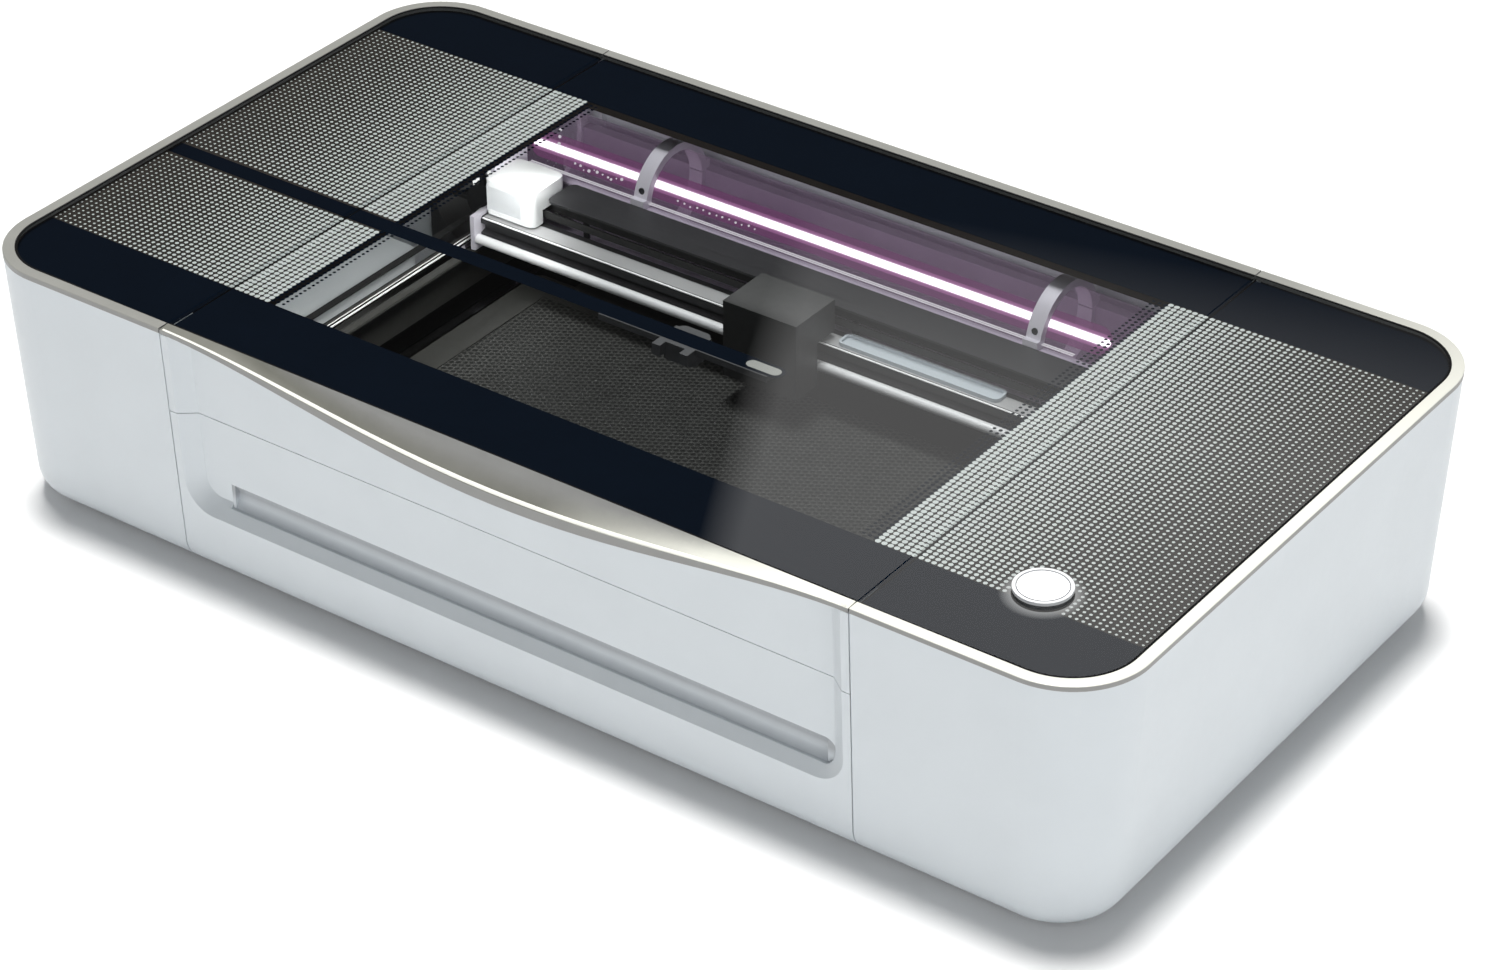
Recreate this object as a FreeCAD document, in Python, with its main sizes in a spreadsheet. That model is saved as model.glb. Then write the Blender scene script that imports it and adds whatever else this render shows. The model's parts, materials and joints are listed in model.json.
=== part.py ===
import FreeCAD, Part
import math
import os
import re
from FreeCAD import Placement, Rotation, Vector
import Sketcher

# Desktop laser cutter with a glass lid, a drop-down front door and a moving gantry that
# carries the laser tube. Millimetres, +X to the right, +Y to the back, +Z up. The origin is
# the middle of the footprint on the table top.

doc = FreeCAD.newDocument("desktop_laser_cutter")
sheet = doc.addObject("Spreadsheet::Sheet", "Sizes")
nodes = []

DRIVING = {
    # small gaps between parts, and how far cutting shapes run past what they cut
    "hair": 0.05,
    "part_gap": 0.1,
    "sheet_gap": 0.2,
    "margin": 1.0,
    "over": 5.0,
    # casing form: a rounded rectangle that narrows towards its foot
    "case_width": 965.0,
    "case_depth": 524.0,
    "case_height": 210.0,
    "case_corner": 60.0,
    "case_draft": 10.0,
    "foot_height": 3.0,
    "foot_radius": 12.0,
    "foot_inset": 62.0,
    "edge_round": 24.0,
    "wall": 3.5,
    "door_wall": 13.5,
    "pan_top": 6.8,
    "shell_low": 7.4,
    "seam_at": 295.4,
    "seam_gap": 0.5,
    "seam_flange": 3.0,
    "rear_shell_top": 204.4,
    "rear_shell_start": 200.0,
    "flange_reach": 11.0,
    "vent_pitch_x": 30.0,
    "vent_pitch_y": 18.0,
    "vent_start": -160.0,
    "vent_radius": 3.5,
    # metal rim round the top, and the glass that lies inside it
    "rim_width": 9.0,
    "rim_height": 4.0,
    "rim_bevel": 0.9,
    "glass_gap": 0.4,
    "glass_thick": 4.0,
    "glass_low": 205.6,
    "deck_low": 199.5,
    "deck_top": 205.2,
    "deck_start": 299.4,
    "deck_gap": 1.5,
    "deck_edge": 8.0,
    "deck_pocket_end": 158.0,
    "deck_pocket_pitch": 96.0,
    "deck_pocket_wide": 88.0,
    "deck_pocket_depth": 3.2,
    # front lip of the lid, which hangs lowest at its middle
    "lip_edge": 209.3,
    "lip_drop": 23.5,
    "lip_band_drop": 28.5,
    "lip_bulge": 1.5,
    "lip_hollow": 3.0,
    "lip_hollow_end": 0.12,
    # front recess shared by the lid front and the door, and the scoop low in the door
    "recess_half": 288.5,
    "recess_slope": 12.5,
    "recess_depth": 9.6,
    "recess_foot": 58.0,
    "recess_corner": 24.0,
    "recess_turn": 0.8,
    "recess_over": 2.0,
    "scoop_left": 252.0,
    "scoop_right": 277.0,
    "scoop_low": 67.0,
    "scoop_high": 87.0,
    "scoop_depth": 4.5,
    "shutter_skin": 1.8,
    "shutter_gap": 0.15,
    "shutter_ease": 0.01,
    "shutter_left": 3.0,
    "shutter_right": 7.0,
    "door_low": 8.4,
    "door_top": 139.7,
    "lid_front_low": 140.3,
    "lid_front_top": 205.4,
    "door_half": 294.9,
    "front_gap": 2.0,
    # pivots of door and lid
    "door_axis_y": 237.0,
    "door_axis_z": 34.0,
    "door_pin": 3.0,
    "door_ear": 8.0,
    "door_ear_root": 6.0,
    "door_ear_in": 284.0,
    "door_ear_out": 292.0,
    "door_pin_in": 285.0,
    "door_pin_end": 303.0,
    "pin_clearance": 0.05,
    "lid_axis_y": 261.3,
    "lid_axis_z": 205.5,
    "knuckle": 2.2,
    "knuckle_room": 2.6,
    "lid_pin": 1.2,
    "hinge_at": 200.0,
    "hinge_mid": 20.0,
    "hinge_end": 34.0,
    "web_low": 5.0,
    "web_high": 1.0,
    # frame under the lid glass and what hangs from it
    "window_half": 262.0,
    "window_front": 184.5,
    "window_back": 190.0,
    "frame_front": 247.4,
    "frame_back": 256.0,
    "camera_x": 10.0,
    "camera_y": -49.0,
    "pod_half": 14.0,
    "pod_deep": 13.0,
    "pod_thick": 14.4,
    "pod_corner": 6.0,
    "camera_lens": 6.5,
    "camera_lens_drop": 1.6,
    "camera_bar_left": 71.0,
    "camera_bar_right": 76.0,
    "camera_bar_front": 10.0,
    "camera_bar_back": 6.0,
    "camera_bar_thick": 5.0,
    "clip_left": 16.0,
    "clip_right": 8.0,
    "clip_wide": 7.0,
    "clip_front": 20.0,
    "clip_back": 9.0,
    "clip_thick": 9.0,
    "light_y": -212.0,
    "light_half": 8.0,
    "light_side": 6.0,
    "light_drop": 8.0,
    "light_long": 250.0,
    # sheet-metal tub, rails and crumb tray
    "tub_half": 329.0,
    "sheet": 1.5,
    "tub_floor": 36.0,
    "tub_front": 226.0,
    "tub_back": 249.8,
    "tub_top": 98.0,
    "flange_in": 306.0,
    "flange_thick": 2.0,
    "rail_at": 316.0,
    "rail_half": 4.0,
    "rail_top": 106.0,
    "rail_end": 247.0,
    "rail_foot": 1.0,
    "rail_foot_high": 2.0,
    "leg_in": 285.0,
    "leg_out": 310.0,
    "leg_pitch": 200.0,
    "leg_long": 25.0,
    "guide_in": 275.0,
    "guide_out": 303.0,
    "guide_top": 74.0,
    "guide_groove": 283.0,
    "guide_wall": 3.0,
    "groove_wide": 1.6,
    "groove_deep": 3.0,
    "tray_half": 272.0,
    "tray_front": 236.0,
    "tray_back": 134.0,
    "tray_low": 37.8,
    "tray_top": 75.0,
    "tray_border": 26.0,
    "tray_corner": 8.0,
    "tray_sheet": 2.0,
    "ledge_end": 10.0,
    "ledge_lap": 2.0,
    "ledge_gap": 3.0,
    "ledge_thick": 3.0,
    "comb_low": 60.0,
    "comb_gap": 0.5,
    "comb_cell_x": 81.8,
    "comb_cell_y": 79.2,
    "comb_rib": 1.5,
    "comb_sheet": 3.0,
    # gantry: trough for the tube, cross beam, end plates
    "tube_y": 199.0,
    "tube_z": 148.0,
    "tube_radius": 33.0,
    "tube_glass": 2.0,
    "tube_half": 350.0,
    "core_radius": 11.0,
    "core_glass": 1.5,
    "cap_radius": 25.0,
    "cap_long": 18.0,
    "cap_lap": 0.2,
    "cap_rim": 6.0,
    "cap_step": 8.0,
    "cap_taper": 4.0,
    "clamp_radius": 39.5,
    "clamp_width": 12.5,
    "clamp_left": -190.0,
    "clamp_right": 167.0,
    "clamp_foot": 3.5,
    "clamp_foot_in": 4.0,
    "clamp_foot_high": 7.0,
    "saddle_gap": 0.15,
    "screw_up": 12.0,
    "screw_radius": 2.7,
    "screw_in": 2.6,
    "screw_long": 3.0,
    "screw_well": 7.0,
    "trough_front": 162.0,
    "trough_back": 238.0,
    "trough_low": 104.0,
    "trough_sheet": 2.0,
    "trough_top": 150.0,
    "trough_flange": 7.0,
    "beam_half": 303.8,
    "beam_front": 105.0,
    "beam_back": 126.6,
    "beam_top": 128.5,
    "beam_slot": 5.0,
    "beam_slot_low": 4.0,
    "beam_slot_top": 12.0,
    "beam_slot_lean": 1.5,
    "beam_bevel": 2.0,
    "rod_y": 101.0,
    "rod_z": 111.0,
    "rod_radius": 4.0,
    "plate_out": 308.0,
    "plate_low": 102.0,
    "plate_top": 165.0,
    "plate_front": 97.0,
    "plate_behind": 4.0,
    "plate_step": 2.0,
    "plate_step_up": 3.0,
    "grip_y": 170.0,
    "grip_arm": 5.0,
    "grip_jaw": 10.0,
    "grip_half": 4.0,
    "grip_low": 109.0,
    "grip_top": 113.0,
    "cover_left": 252.0,
    "cover_right": 292.0,
    "cover_front": 122.0,
    "cover_thick": 2.0,
    "cover_lap": 0.4,
    "cover_corner": 6.0,
    "post_in": 24.0,
    "post_end": 20.0,
    "cable_left": 30.0,
    "cable_right": 171.0,
    "cable_front": 108.0,
    "cable_back": 124.0,
    "cable_high": 3.5,
    "cable_wall": 2.0,
    "cable_floor": 1.2,
    "cable_corner": 5.0,
    "block_left": 303.6,
    "block_right": 256.0,
    "block_front": 110.0,
    "block_back": 152.0,
    "block_low": 130.5,
    "block_top": 160.0,
    "block_wall": 2.0,
    "block_round": 6.0,
    "port_left": 4.0,
    "port_right": 12.0,
    "port_low": 4.0,
    "port_top": 5.0,
    "belt_room": 9.0,
    "can_up": 6.0,
    "can_radius": 16.5,
    "shaft_down": 4.5,
    "post_up": 5.0,
    "wheel_radius": 8.9,
    "wheel_y_front": 121.0,
    "wheel_y_back": 236.0,
    "wheel_z": 115.0,
    "wheel_half": 3.0,
    "wheel_bevel": 1.0,
    "axle_radius": 2.5,
    # belts and pulleys
    "belt_thick": 1.4,
    "belt_width": 6.0,
    "pulley_pitch": 7.0,
    "pulley_flange": 9.6,
    "belt_y_at": 335.0,
    "belt_z": 100.0,
    "belt_y_front": 228.0,
    "belt_y_back": 236.0,
    "belt_x_y": 131.6,
    "belt_x_z": 137.0,
    "belt_x_left": 282.0,
    "belt_x_right": 288.0,
    "xpulley_pitch": 5.0,
    "xpulley_flange": 7.0,
    "motor_side": 36.0,
    "motor_long": 34.0,
    "motor_gap": 8.0,
    "stand_from": 4.0,
    "stand_to": 16.0,
    "shaft_stub": 4.4,
    "pulley_play": 0.3,
    "pulley_end": 1.5,
    # head that rides on the beam
    "head_left": 45.0,
    "head_right": 21.0,
    "head_front": 69.0,
    "head_back": 118.6,
    "head_low": 96.0,
    "head_top": 160.0,
    "head_wall": 2.5,
    "head_step": 96.4,
    "head_clear": 133.0,
    "head_centre_x": -12.0,
    "head_centre_y": 83.0,
    "lens_radius": 9.0,
    "nozzle_low": 91.0,
    "nozzle_bore": 1.5,
    "nozzle_tip": 3.5,
    "nozzle_cone": 8.0,
    "nozzle_collar": 13.0,
    "nozzle_seat": 12.0,
    "barrel_long": 34.0,
    "barrel_bore": 6.0,
    "barrel_step": 2.0,
    "core_play": 0.5,
    "core_up": 8.0,
    "core_down": 4.0,
    "arm_half": 14.0,
    "arm_play": 0.3,
    "arm_up": 4.0,
    "bearing_in": 16.0,
    "bearing_long": 10.0,
    "bearing_wall": 3.4,
    "bearing_gap": 0.4,
    "bearing_keep": 12.0,
    "opening_half": 28.0,
    "opening_deep": 4.0,
    "opening_high": 9.0,
    # control button on the right glass
    "button_x": 384.0,
    "button_y": -171.0,
    "button_outer": 20.3,
    "button_barrel": 18.5,
    "button_inner": 17.3,
    "button_cap": 17.0,
    "button_top": 212.0,
    "button_depth": 12.0,
    "button_floor": 2.0,
    "barrel_gap": 0.3,
    "press_thick": 6.0,
    "press_bevel": 0.8,
    "press_dome": 0.3,
    # exhaust, electrics
    "exhaust_x": -397.0,
    "exhaust_z": 58.0,
    "collar_radius": 50.8,
    "collar_wall": 2.0,
    "collar_end": 263.5,
    "collar_start": 240.0,
    "mouth_radius": 49.4,
    "mouth_depth": 13.5,
    "fan_half": 53.0,
    "fan_front": 216.0,
    "fan_back": 252.0,
    "fan_low": 7.0,
    "fan_top": 110.0,
    "arm_front": 219.0,
    "arm_thick": 3.0,
    "arm_wide": 4.0,
    "arm_reach": 49.5,
    "hub_radius": 16.0,
    "hub_long": 7.0,
    "fan_axle": 2.5,
    "fan_axle_start": 220.0,
    "fan_axle_long": 24.0,
    "boss_radius": 17.0,
    "boss_start": 228.0,
    "boss_long": 16.0,
    "rotor_start": 227.0,
    "rotor_long": 18.0,
    "rotor_radius": 45.0,
    "blade_long": 32.0,
    "blade_thick": 2.0,
    "blade_wide": 15.0,
    "blade_in": 13.0,
    "blade_tilt": -55.0,
    "blade_at": 236.0,
    "inlet_x": 400.0,
    "inlet_z": 60.0,
    "inlet_half": 23.8,
    "inlet_high": 13.8,
    "inlet_front": 228.0,
    "inlet_back": 256.4,
    "inlet_room": 0.2,
    "socket_from": -21.0,
    "socket_to": 3.0,
    "socket_high": 8.0,
    "socket_floor": 244.0,
    "contact_out": 254.0,
    "contact_half": 1.0,
    "contact_high": 2.0,
    "contact_apart": 7.0,
    "contact_down": 2.0,
    "earth_up": 3.0,
    "well_from": 6.5,
    "well_to": 20.5,
    "well_high": 11.0,
    "well_floor": 238.0,
    "switch_y": 248.0,
    "switch_axle": 1.4,
    "rocker_side": 0.7,
    "rocker_low": 244.0,
    "rocker_wing": 249.0,
    "rocker_dip": 254.4,
    "rocker_tip": 256.5,
    "rocker_heel": 4.0,
    "rocker_half": 9.6,
    # power supply, control board and coolant unit, which stand on the pan
    "supply_x": 404.0,
    "supply_half": 52.0,
    "supply_front": -60.0,
    "supply_back": 150.0,
    "supply_low": 13.0,
    "supply_top": 94.0,
    "supply_wall": 1.5,
    "supply_skin": 3.5,
    "supply_foot": 10.0,
    "coil_from": 370.0,
    "coil_to": 430.0,
    "coil_front": 60.0,
    "coil_back": 120.0,
    "coil_top": 60.0,
    "slit_pitch": 12.0,
    "slit_wide": 4.0,
    "slit_start": -40.0,
    "slit_deep": 2.0,
    "slit_low": 20.0,
    "slit_top": 80.0,
    "board_left": 350.0,
    "board_right": 462.0,
    "board_front": -196.0,
    "board_back": -82.0,
    "board_low": 60.0,
    "board_thick": 1.6,
    "board_post": 3.0,
    "board_post_in": 6.0,
    "board_post_right": 16.0,
    "chip_side": 28.0,
    "chip_high": 4.0,
    "driver_long": 60.0,
    "driver_wide": 16.0,
    "driver_high": 9.0,
    "terminal_long": 90.0,
    "terminal_wide": 10.0,
    "terminal_high": 12.0,
    "tank_x": -404.0,
    "tank_half": 52.0,
    "tank_front": -60.0,
    "tank_back": 90.0,
    "tank_low": 13.0,
    "tank_top": 90.0,
    "tank_corner": 14.0,
    "tank_foot": 12.0,
    "filler_y": 60.0,
    "filler_high": 8.0,
    "filler_radius": 14.0,
    "pump_front": -118.0,
    "pump_long": 58.5,
    "pump_z": 40.0,
    "pump_radius": 26.0,
    "pump_foot_half": 24.0,
    "pump_foot_front": -110.0,
    "pump_foot_back": -75.0,
    "outlet_y": -100.0,
    "outlet_top": 90.0,
    "outlet_radius": 5.0,
}


def fill_sheet():
    """One row per driving size: its name, its value, and the name again as alias."""
    for row, (alias, number) in enumerate(DRIVING.items(), start=1):
        sheet.set(f"A{row}", alias)
        sheet.set(f"B{row}", str(number))
        sheet.setAlias(f"B{row}", alias)
    doc.recompute()


# ---------------------------------------------------------------- small modelling language

def linked(text):
    """The expression with every driving size written as a reference to the sheet."""
    def refer(word):
        return "Sizes." + word.group() if word.group() in DRIVING else word.group()
    return re.sub(r"[a-z_]+", refer, text)


def size(text):
    """The number that an expression gives now."""
    return float(sheet.evalExpression(linked(text)))


def bind(obj, prop, text):
    obj.setExpression(prop, linked(text))


def place(obj, x="0", y="0", z="0"):
    for axis, text in zip("xyz", (x, y, z)):
        bind(obj, "Placement.Base." + axis, text)


def node(obj, label):
    """Marks a finished sub-part: the label names its file."""
    obj.Label = label
    nodes.append(obj)
    return obj


def mirrored(side, inner, outer):
    """Low and high x of a span between two distances from the middle, on one side."""
    if side > 0:
        return (inner, outer)
    return (f"-({outer})", f"-({inner})")


def block(name, x, y, z):
    """A box between low and high expressions on each axis."""
    obj = doc.addObject("Part::Box", name)
    for prop, (low, high) in zip(("Length", "Width", "Height"), (x, y, z)):
        bind(obj, prop, f"({high}) - ({low})")
    place(obj, x[0], y[0], z[0])
    return obj


AXIS_TURN = {
    "X": Rotation(Vector(0, 1, 0), 90),
    "Y": Rotation(Vector(1, 0, 0), -90),
    "Z": Rotation(),
}


def rod(name, axis, start, length, radius):
    """A cylinder that starts at a point and runs up its axis."""
    obj = doc.addObject("Part::Cylinder", name)
    obj.Placement = Placement(Vector(), AXIS_TURN[axis])
    bind(obj, "Height", length)
    bind(obj, "Radius", radius)
    place(obj, *start)
    return obj


def fuse(name, *shapes):
    obj = doc.addObject("Part::MultiFuse", name)
    obj.Shapes = list(shapes)
    obj.Refine = True
    return obj


def cut(name, base, *tools):
    obj = doc.addObject("Part::Cut", name)
    obj.Base = base
    obj.Tool = tools[0] if len(tools) == 1 else fuse(name + "_tools", *tools)
    obj.Refine = True
    return obj


def common(name, first, second):
    obj = doc.addObject("Part::Common", name)
    obj.Base = first
    obj.Tool = second
    return obj


def group(name, *solids):
    """Separate solids that share one node."""
    obj = doc.addObject("Part::Compound", name)
    obj.Links = list(solids)
    return obj


def body_with_sketch(name, plane):
    body = doc.addObject("PartDesign::Body", name)
    sketch = body.newObject("Sketcher::SketchObject", name + "_sketch")
    origin_plane = next(f for f in body.Origin.OriginFeatures if f.Role == plane)
    sketch.AttachmentSupport = (origin_plane, [""])
    sketch.MapMode = "FlatFace"
    return body, sketch


def fix_point(sketch, geometry, vertex, u, v):
    """Holds one sketch vertex at two expressions from the origin."""
    for kind, text in (("DistanceX", u), ("DistanceY", v)):
        index = sketch.addConstraint(Sketcher.Constraint(kind, -1, 1, geometry, vertex, size(text)))
        sketch.setExpression(f"Constraints[{index}]", linked(text))


def polygon(sketch, points):
    """A closed polygon whose corners are pairs of expressions."""
    corners = [Vector(size(u), size(v), 0) for u, v in points]
    count = len(corners)
    for i in range(count):
        sketch.addGeometry(Part.LineSegment(corners[i], corners[(i + 1) % count]))
    for i in range(count):
        sketch.addConstraint(Sketcher.Constraint("Coincident", i, 2, (i + 1) % count, 1))
    for i, (u, v) in enumerate(points):
        fix_point(sketch, i, 1, u, v)


def rounded_outline(sketch, u, v, radius):
    """A rectangle with four equal round corners; u and v are low and high expressions."""
    low_u, high_u, low_v, high_v = size(u[0]), size(u[1]), size(v[0]), size(v[1])
    r = size(radius)
    edges = [
        ((low_u + r, low_v), (high_u - r, low_v)),
        ((high_u, low_v + r), (high_u, high_v - r)),
        ((high_u - r, high_v), (low_u + r, high_v)),
        ((low_u, high_v - r), (low_u, low_v + r)),
    ]
    for start, end in edges:
        sketch.addGeometry(Part.LineSegment(Vector(*start, 0), Vector(*end, 0)))
    centres = [(high_u - r, low_v + r), (high_u - r, high_v - r),
               (low_u + r, high_v - r), (low_u + r, low_v + r)]
    for quarter, centre in enumerate(centres):
        circle = Part.Circle(Vector(*centre, 0), Vector(0, 0, 1), r)
        start = (quarter - 1) * math.pi / 2
        sketch.addGeometry(Part.ArcOfCircle(circle, start, start + math.pi / 2))
    for i in range(4):
        sketch.addConstraint(Sketcher.Constraint("Tangent", i, 2, 4 + i, 1))
        sketch.addConstraint(Sketcher.Constraint("Tangent", 4 + i, 2, (i + 1) % 4, 1))
        sketch.addConstraint(Sketcher.Constraint("Vertical" if i % 2 else "Horizontal", i))
    for i in range(1, 4):
        sketch.addConstraint(Sketcher.Constraint("Equal", 4, 4 + i))
    held = sketch.addConstraint(Sketcher.Constraint("Radius", 4, r))
    sketch.setExpression(f"Constraints[{held}]", linked(radius))
    held_lines = (("DistanceX", 1, u[1]), ("DistanceX", 3, u[0]), ("DistanceY", 2, v[1]), ("DistanceY", 0,
                                                                                           v[0]))
    for kind, line, text in held_lines:
        held = sketch.addConstraint(Sketcher.Constraint(kind, -1, 1, line, 1, size(text)))
        sketch.setExpression(f"Constraints[{held}]", linked(text))


def plate(name, x, y, z, radius, taper=None):
    """A plate with round corners, seen from above, with drafted sides if taper is given."""
    body, sketch = body_with_sketch(name, "XY_Plane")
    rounded_outline(sketch, x, y, radius)
    pad = body.newObject("PartDesign::Pad", name + "_pad")
    pad.Profile = sketch
    bind(pad, "Length", f"({z[1]}) - ({z[0]})")
    if taper:
        bind(pad, "TaperAngle", taper)
    place(body, z=z[0])
    return body


def profile(name, axis, points, low, high):
    """A polygon profile extruded along X or Y between two expressions."""
    body, sketch = body_with_sketch(name, "YZ_Plane" if axis == "X" else "XZ_Plane")
    polygon(sketch, points)
    pad = body.newObject("PartDesign::Pad", name + "_pad")
    pad.Profile = sketch
    bind(pad, "Length", f"({high}) - ({low})")
    if axis == "X":
        place(body, x=low)
    else:
        place(body, y=high)
    return body


TURN_FROM_X = {
    "X": Rotation(),
    "Y": Rotation(Vector(0, 0, 1), 90),
    "Z": Rotation(Vector(0, 1, 0), -90),
}


def turned(name, axis, centre, points):
    """A turned part: the profile is given as pairs of place along the axis and radius."""
    body, sketch = body_with_sketch(name, "XY_Plane")
    polygon(sketch, points)
    revolution = body.newObject("PartDesign::Revolution", name + "_revolution")
    revolution.Profile = sketch
    revolution.ReferenceAxis = (sketch, ["H_Axis"])
    revolution.Angle = 360
    body.Placement = Placement(Vector(), TURN_FROM_X[axis])
    place(body, *centre)
    return body


# ------------------------------------------------------------------------------- casing

SAME = 1e-6
LIP_STATIONS = 24
COMB_ROWS, COMB_COLUMNS = 4, 6
ROTOR_BLADES = 7
VENT_COUNT = 4
DECK_POCKETS = (-2, -1, 0, 1, 2)
SUPPLY_SLITS = 15
HALF_W = "case_width / 2"
HALF_D = "case_depth / 2"


def drafted_form(name, inset, low, round_radius):
    """The casing's drafted form, drawn in by a wall and rounded along its foot."""
    rise = "(case_height - foot_height)"
    foot = f"(case_draft + ({inset}))"
    half_x = f"{HALF_W} - {foot}"
    half_y = f"{HALF_D} - {foot}"
    lean = f"atan(case_draft / {rise})"
    form = plate(name, (f"-({half_x})", half_x), (f"-({half_y})", half_y), (low, "case_height"),
                 f"case_corner - {foot}", lean)
    doc.recompute()
    pad = form.Tip
    foot_edges = [f"Edge{i + 1}" for i, edge in enumerate(pad.Shape.Edges)
                  if abs(edge.BoundBox.ZMax) < SAME]
    rounding = form.newObject("PartDesign::Fillet", name + "_round")
    rounding.Base = (pad, foot_edges)
    bind(rounding, "Radius", round_radius)
    return form


def make_casing():
    """Pan, side shells and rear shell, all cut from one drafted form."""
    form = drafted_form("casing_form", "0", "foot_height", "edge_round")
    core = drafted_form("casing_core", "wall", "foot_height + wall", "edge_round - wall")
    door_core = drafted_form("door_core", "door_wall", "foot_height + wall", "edge_round - wall")
    hollow = cut("casing_hollow", form, core)
    whole_x = (f"-{HALF_W}", HALF_W)
    whole_y = (f"-{HALF_D}", HALF_D)
    pan = common("pan_form", form, block("pan_slab", whole_x, whole_y, ("0", "pan_top")))
    vents = [rod(f"pan_vent_{row}_{column}", "Z",
                 (f"exhaust_x + ({column} - {(VENT_COUNT - 1) / 2}) * vent_pitch_x",
                  f"vent_start + {row} * vent_pitch_y", "0"),
                 "pan_top + margin", "vent_radius")
             for row in range(VENT_COUNT) for column in range(VENT_COUNT)]
    node(cut("base_pan", pan, *vents), "base_pan")
    feet = [rod(f"foot_{i}", "Z", (f"{sx} * ({HALF_W} - foot_inset)", f"{sy} * ({HALF_D} - foot_inset)", "0"),
                "foot_height", "foot_radius")
            for i, (sx, sy) in enumerate(((-1, -1), (1, -1), (1, 1), (-1, 1)))]
    node(group("rubber_feet", *feet), "rubber_feet")
    for side, label in ((-1, "left"), (1, "right")):
        make_side_shell(side, label, form, hollow)
    make_rear_shell(hollow)
    return form, door_core


def make_side_shell(side, label, form, hollow):
    """One end of the casing, with flanges along its seams to stiffen it and to carry the door."""
    shell_z = ("shell_low", "case_height - rim_height")
    span_x = mirrored(side, "seam_at + seam_gap", HALF_W)
    outer = common(f"side_wall_{label}", hollow,
                   block(f"side_span_{label}", span_x, (f"-{HALF_D}", HALF_D), shell_z))
    flange_x = mirrored(side, "seam_at + seam_gap", "seam_at + seam_gap + seam_flange")
    flange_z = ("shell_low", "deck_top")
    front = common(f"front_flange_{label}", form,
                   block(f"front_flange_span_{label}", flange_x, (f"-{HALF_D}",
                                                                  "-door_axis_y + flange_reach"),
                         flange_z))
    back = common(f"back_flange_{label}", form,
                  block(f"back_flange_span_{label}", flange_x, ("tub_back + margin", HALF_D), flange_z))
    shell = fuse(f"side_body_{label}", outer, front, back)
    pin_x = mirrored(side, "door_pin_in", "door_pin_end + over")[0]
    tools = [rod(f"door_pin_hole_{label}", "X", (pin_x, "-door_axis_y", "door_axis_z"),
                 "door_pin_end - door_pin_in + over", "door_pin")]
    if side < 0:
        tools.append(rod("exhaust_hole", "Y", ("exhaust_x", "fan_front", "exhaust_z"),
                         "collar_end - fan_front + over", "collar_radius"))
    else:
        tools.append(block("inlet_hole", ("inlet_x - inlet_half - inlet_room",
                                          "inlet_x + inlet_half + inlet_room"),
                           ("inlet_front - over", f"{HALF_D} + over"),
                           ("inlet_z - inlet_high - inlet_room", "inlet_z + inlet_high + inlet_room")))
    node(cut(f"side_shell_{label}", shell, *tools), f"side_shell_{label}")


def knuckles(name, low, length, radius):
    """Hinge barrels at both lid hinges, one for each start along the pin."""
    starts = [f"{side} * hinge_at + ({start})" for side in (-1, 1) for start in low]
    return [rod(f"{name}_{i}", "X", (start, "lid_axis_y", "lid_axis_z"), length, radius)
            for i, start in enumerate(starts)]


def make_rear_shell(hollow):
    """Rear wall between the seams, with the fixed barrels of the lid hinges."""
    wall = common("rear_wall", hollow, block("rear_span", ("-seam_at", "seam_at"), ("rear_shell_start",
                                                                                    HALF_D),
                                             ("shell_low", "rear_shell_top")))
    outer_length = "hinge_end - hinge_mid"
    room = knuckles("rear_room", ("-hinge_mid - seam_gap",), "2 * (hinge_mid + seam_gap)", "knuckle_room")
    barrels = knuckles("rear_barrel", ("-hinge_end", "hinge_mid"), outer_length, "knuckle")
    webs = [block(f"rear_web_{i}", (start, f"{start} + {outer_length}"), ("lid_axis_y - knuckle",
                                                                          "lid_axis_y"),
                  ("lid_axis_z - web_low", "lid_axis_z - web_high"))
            for i, start in enumerate(f"{side} * hinge_at + ({low})" for side in (-1, 1)
                                      for low in ("-hinge_end", "hinge_mid"))]
    bores = knuckles("rear_bore", ("-hinge_end - margin",), "2 * (hinge_end + margin)", "lid_pin")
    body = fuse("rear_with_barrels", cut("rear_notched", wall, *room), *barrels, *webs)
    node(cut("rear_shell", body, *bores), "rear_shell")


# ------------------------------------------------------------------- rims, glass and decks

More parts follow.
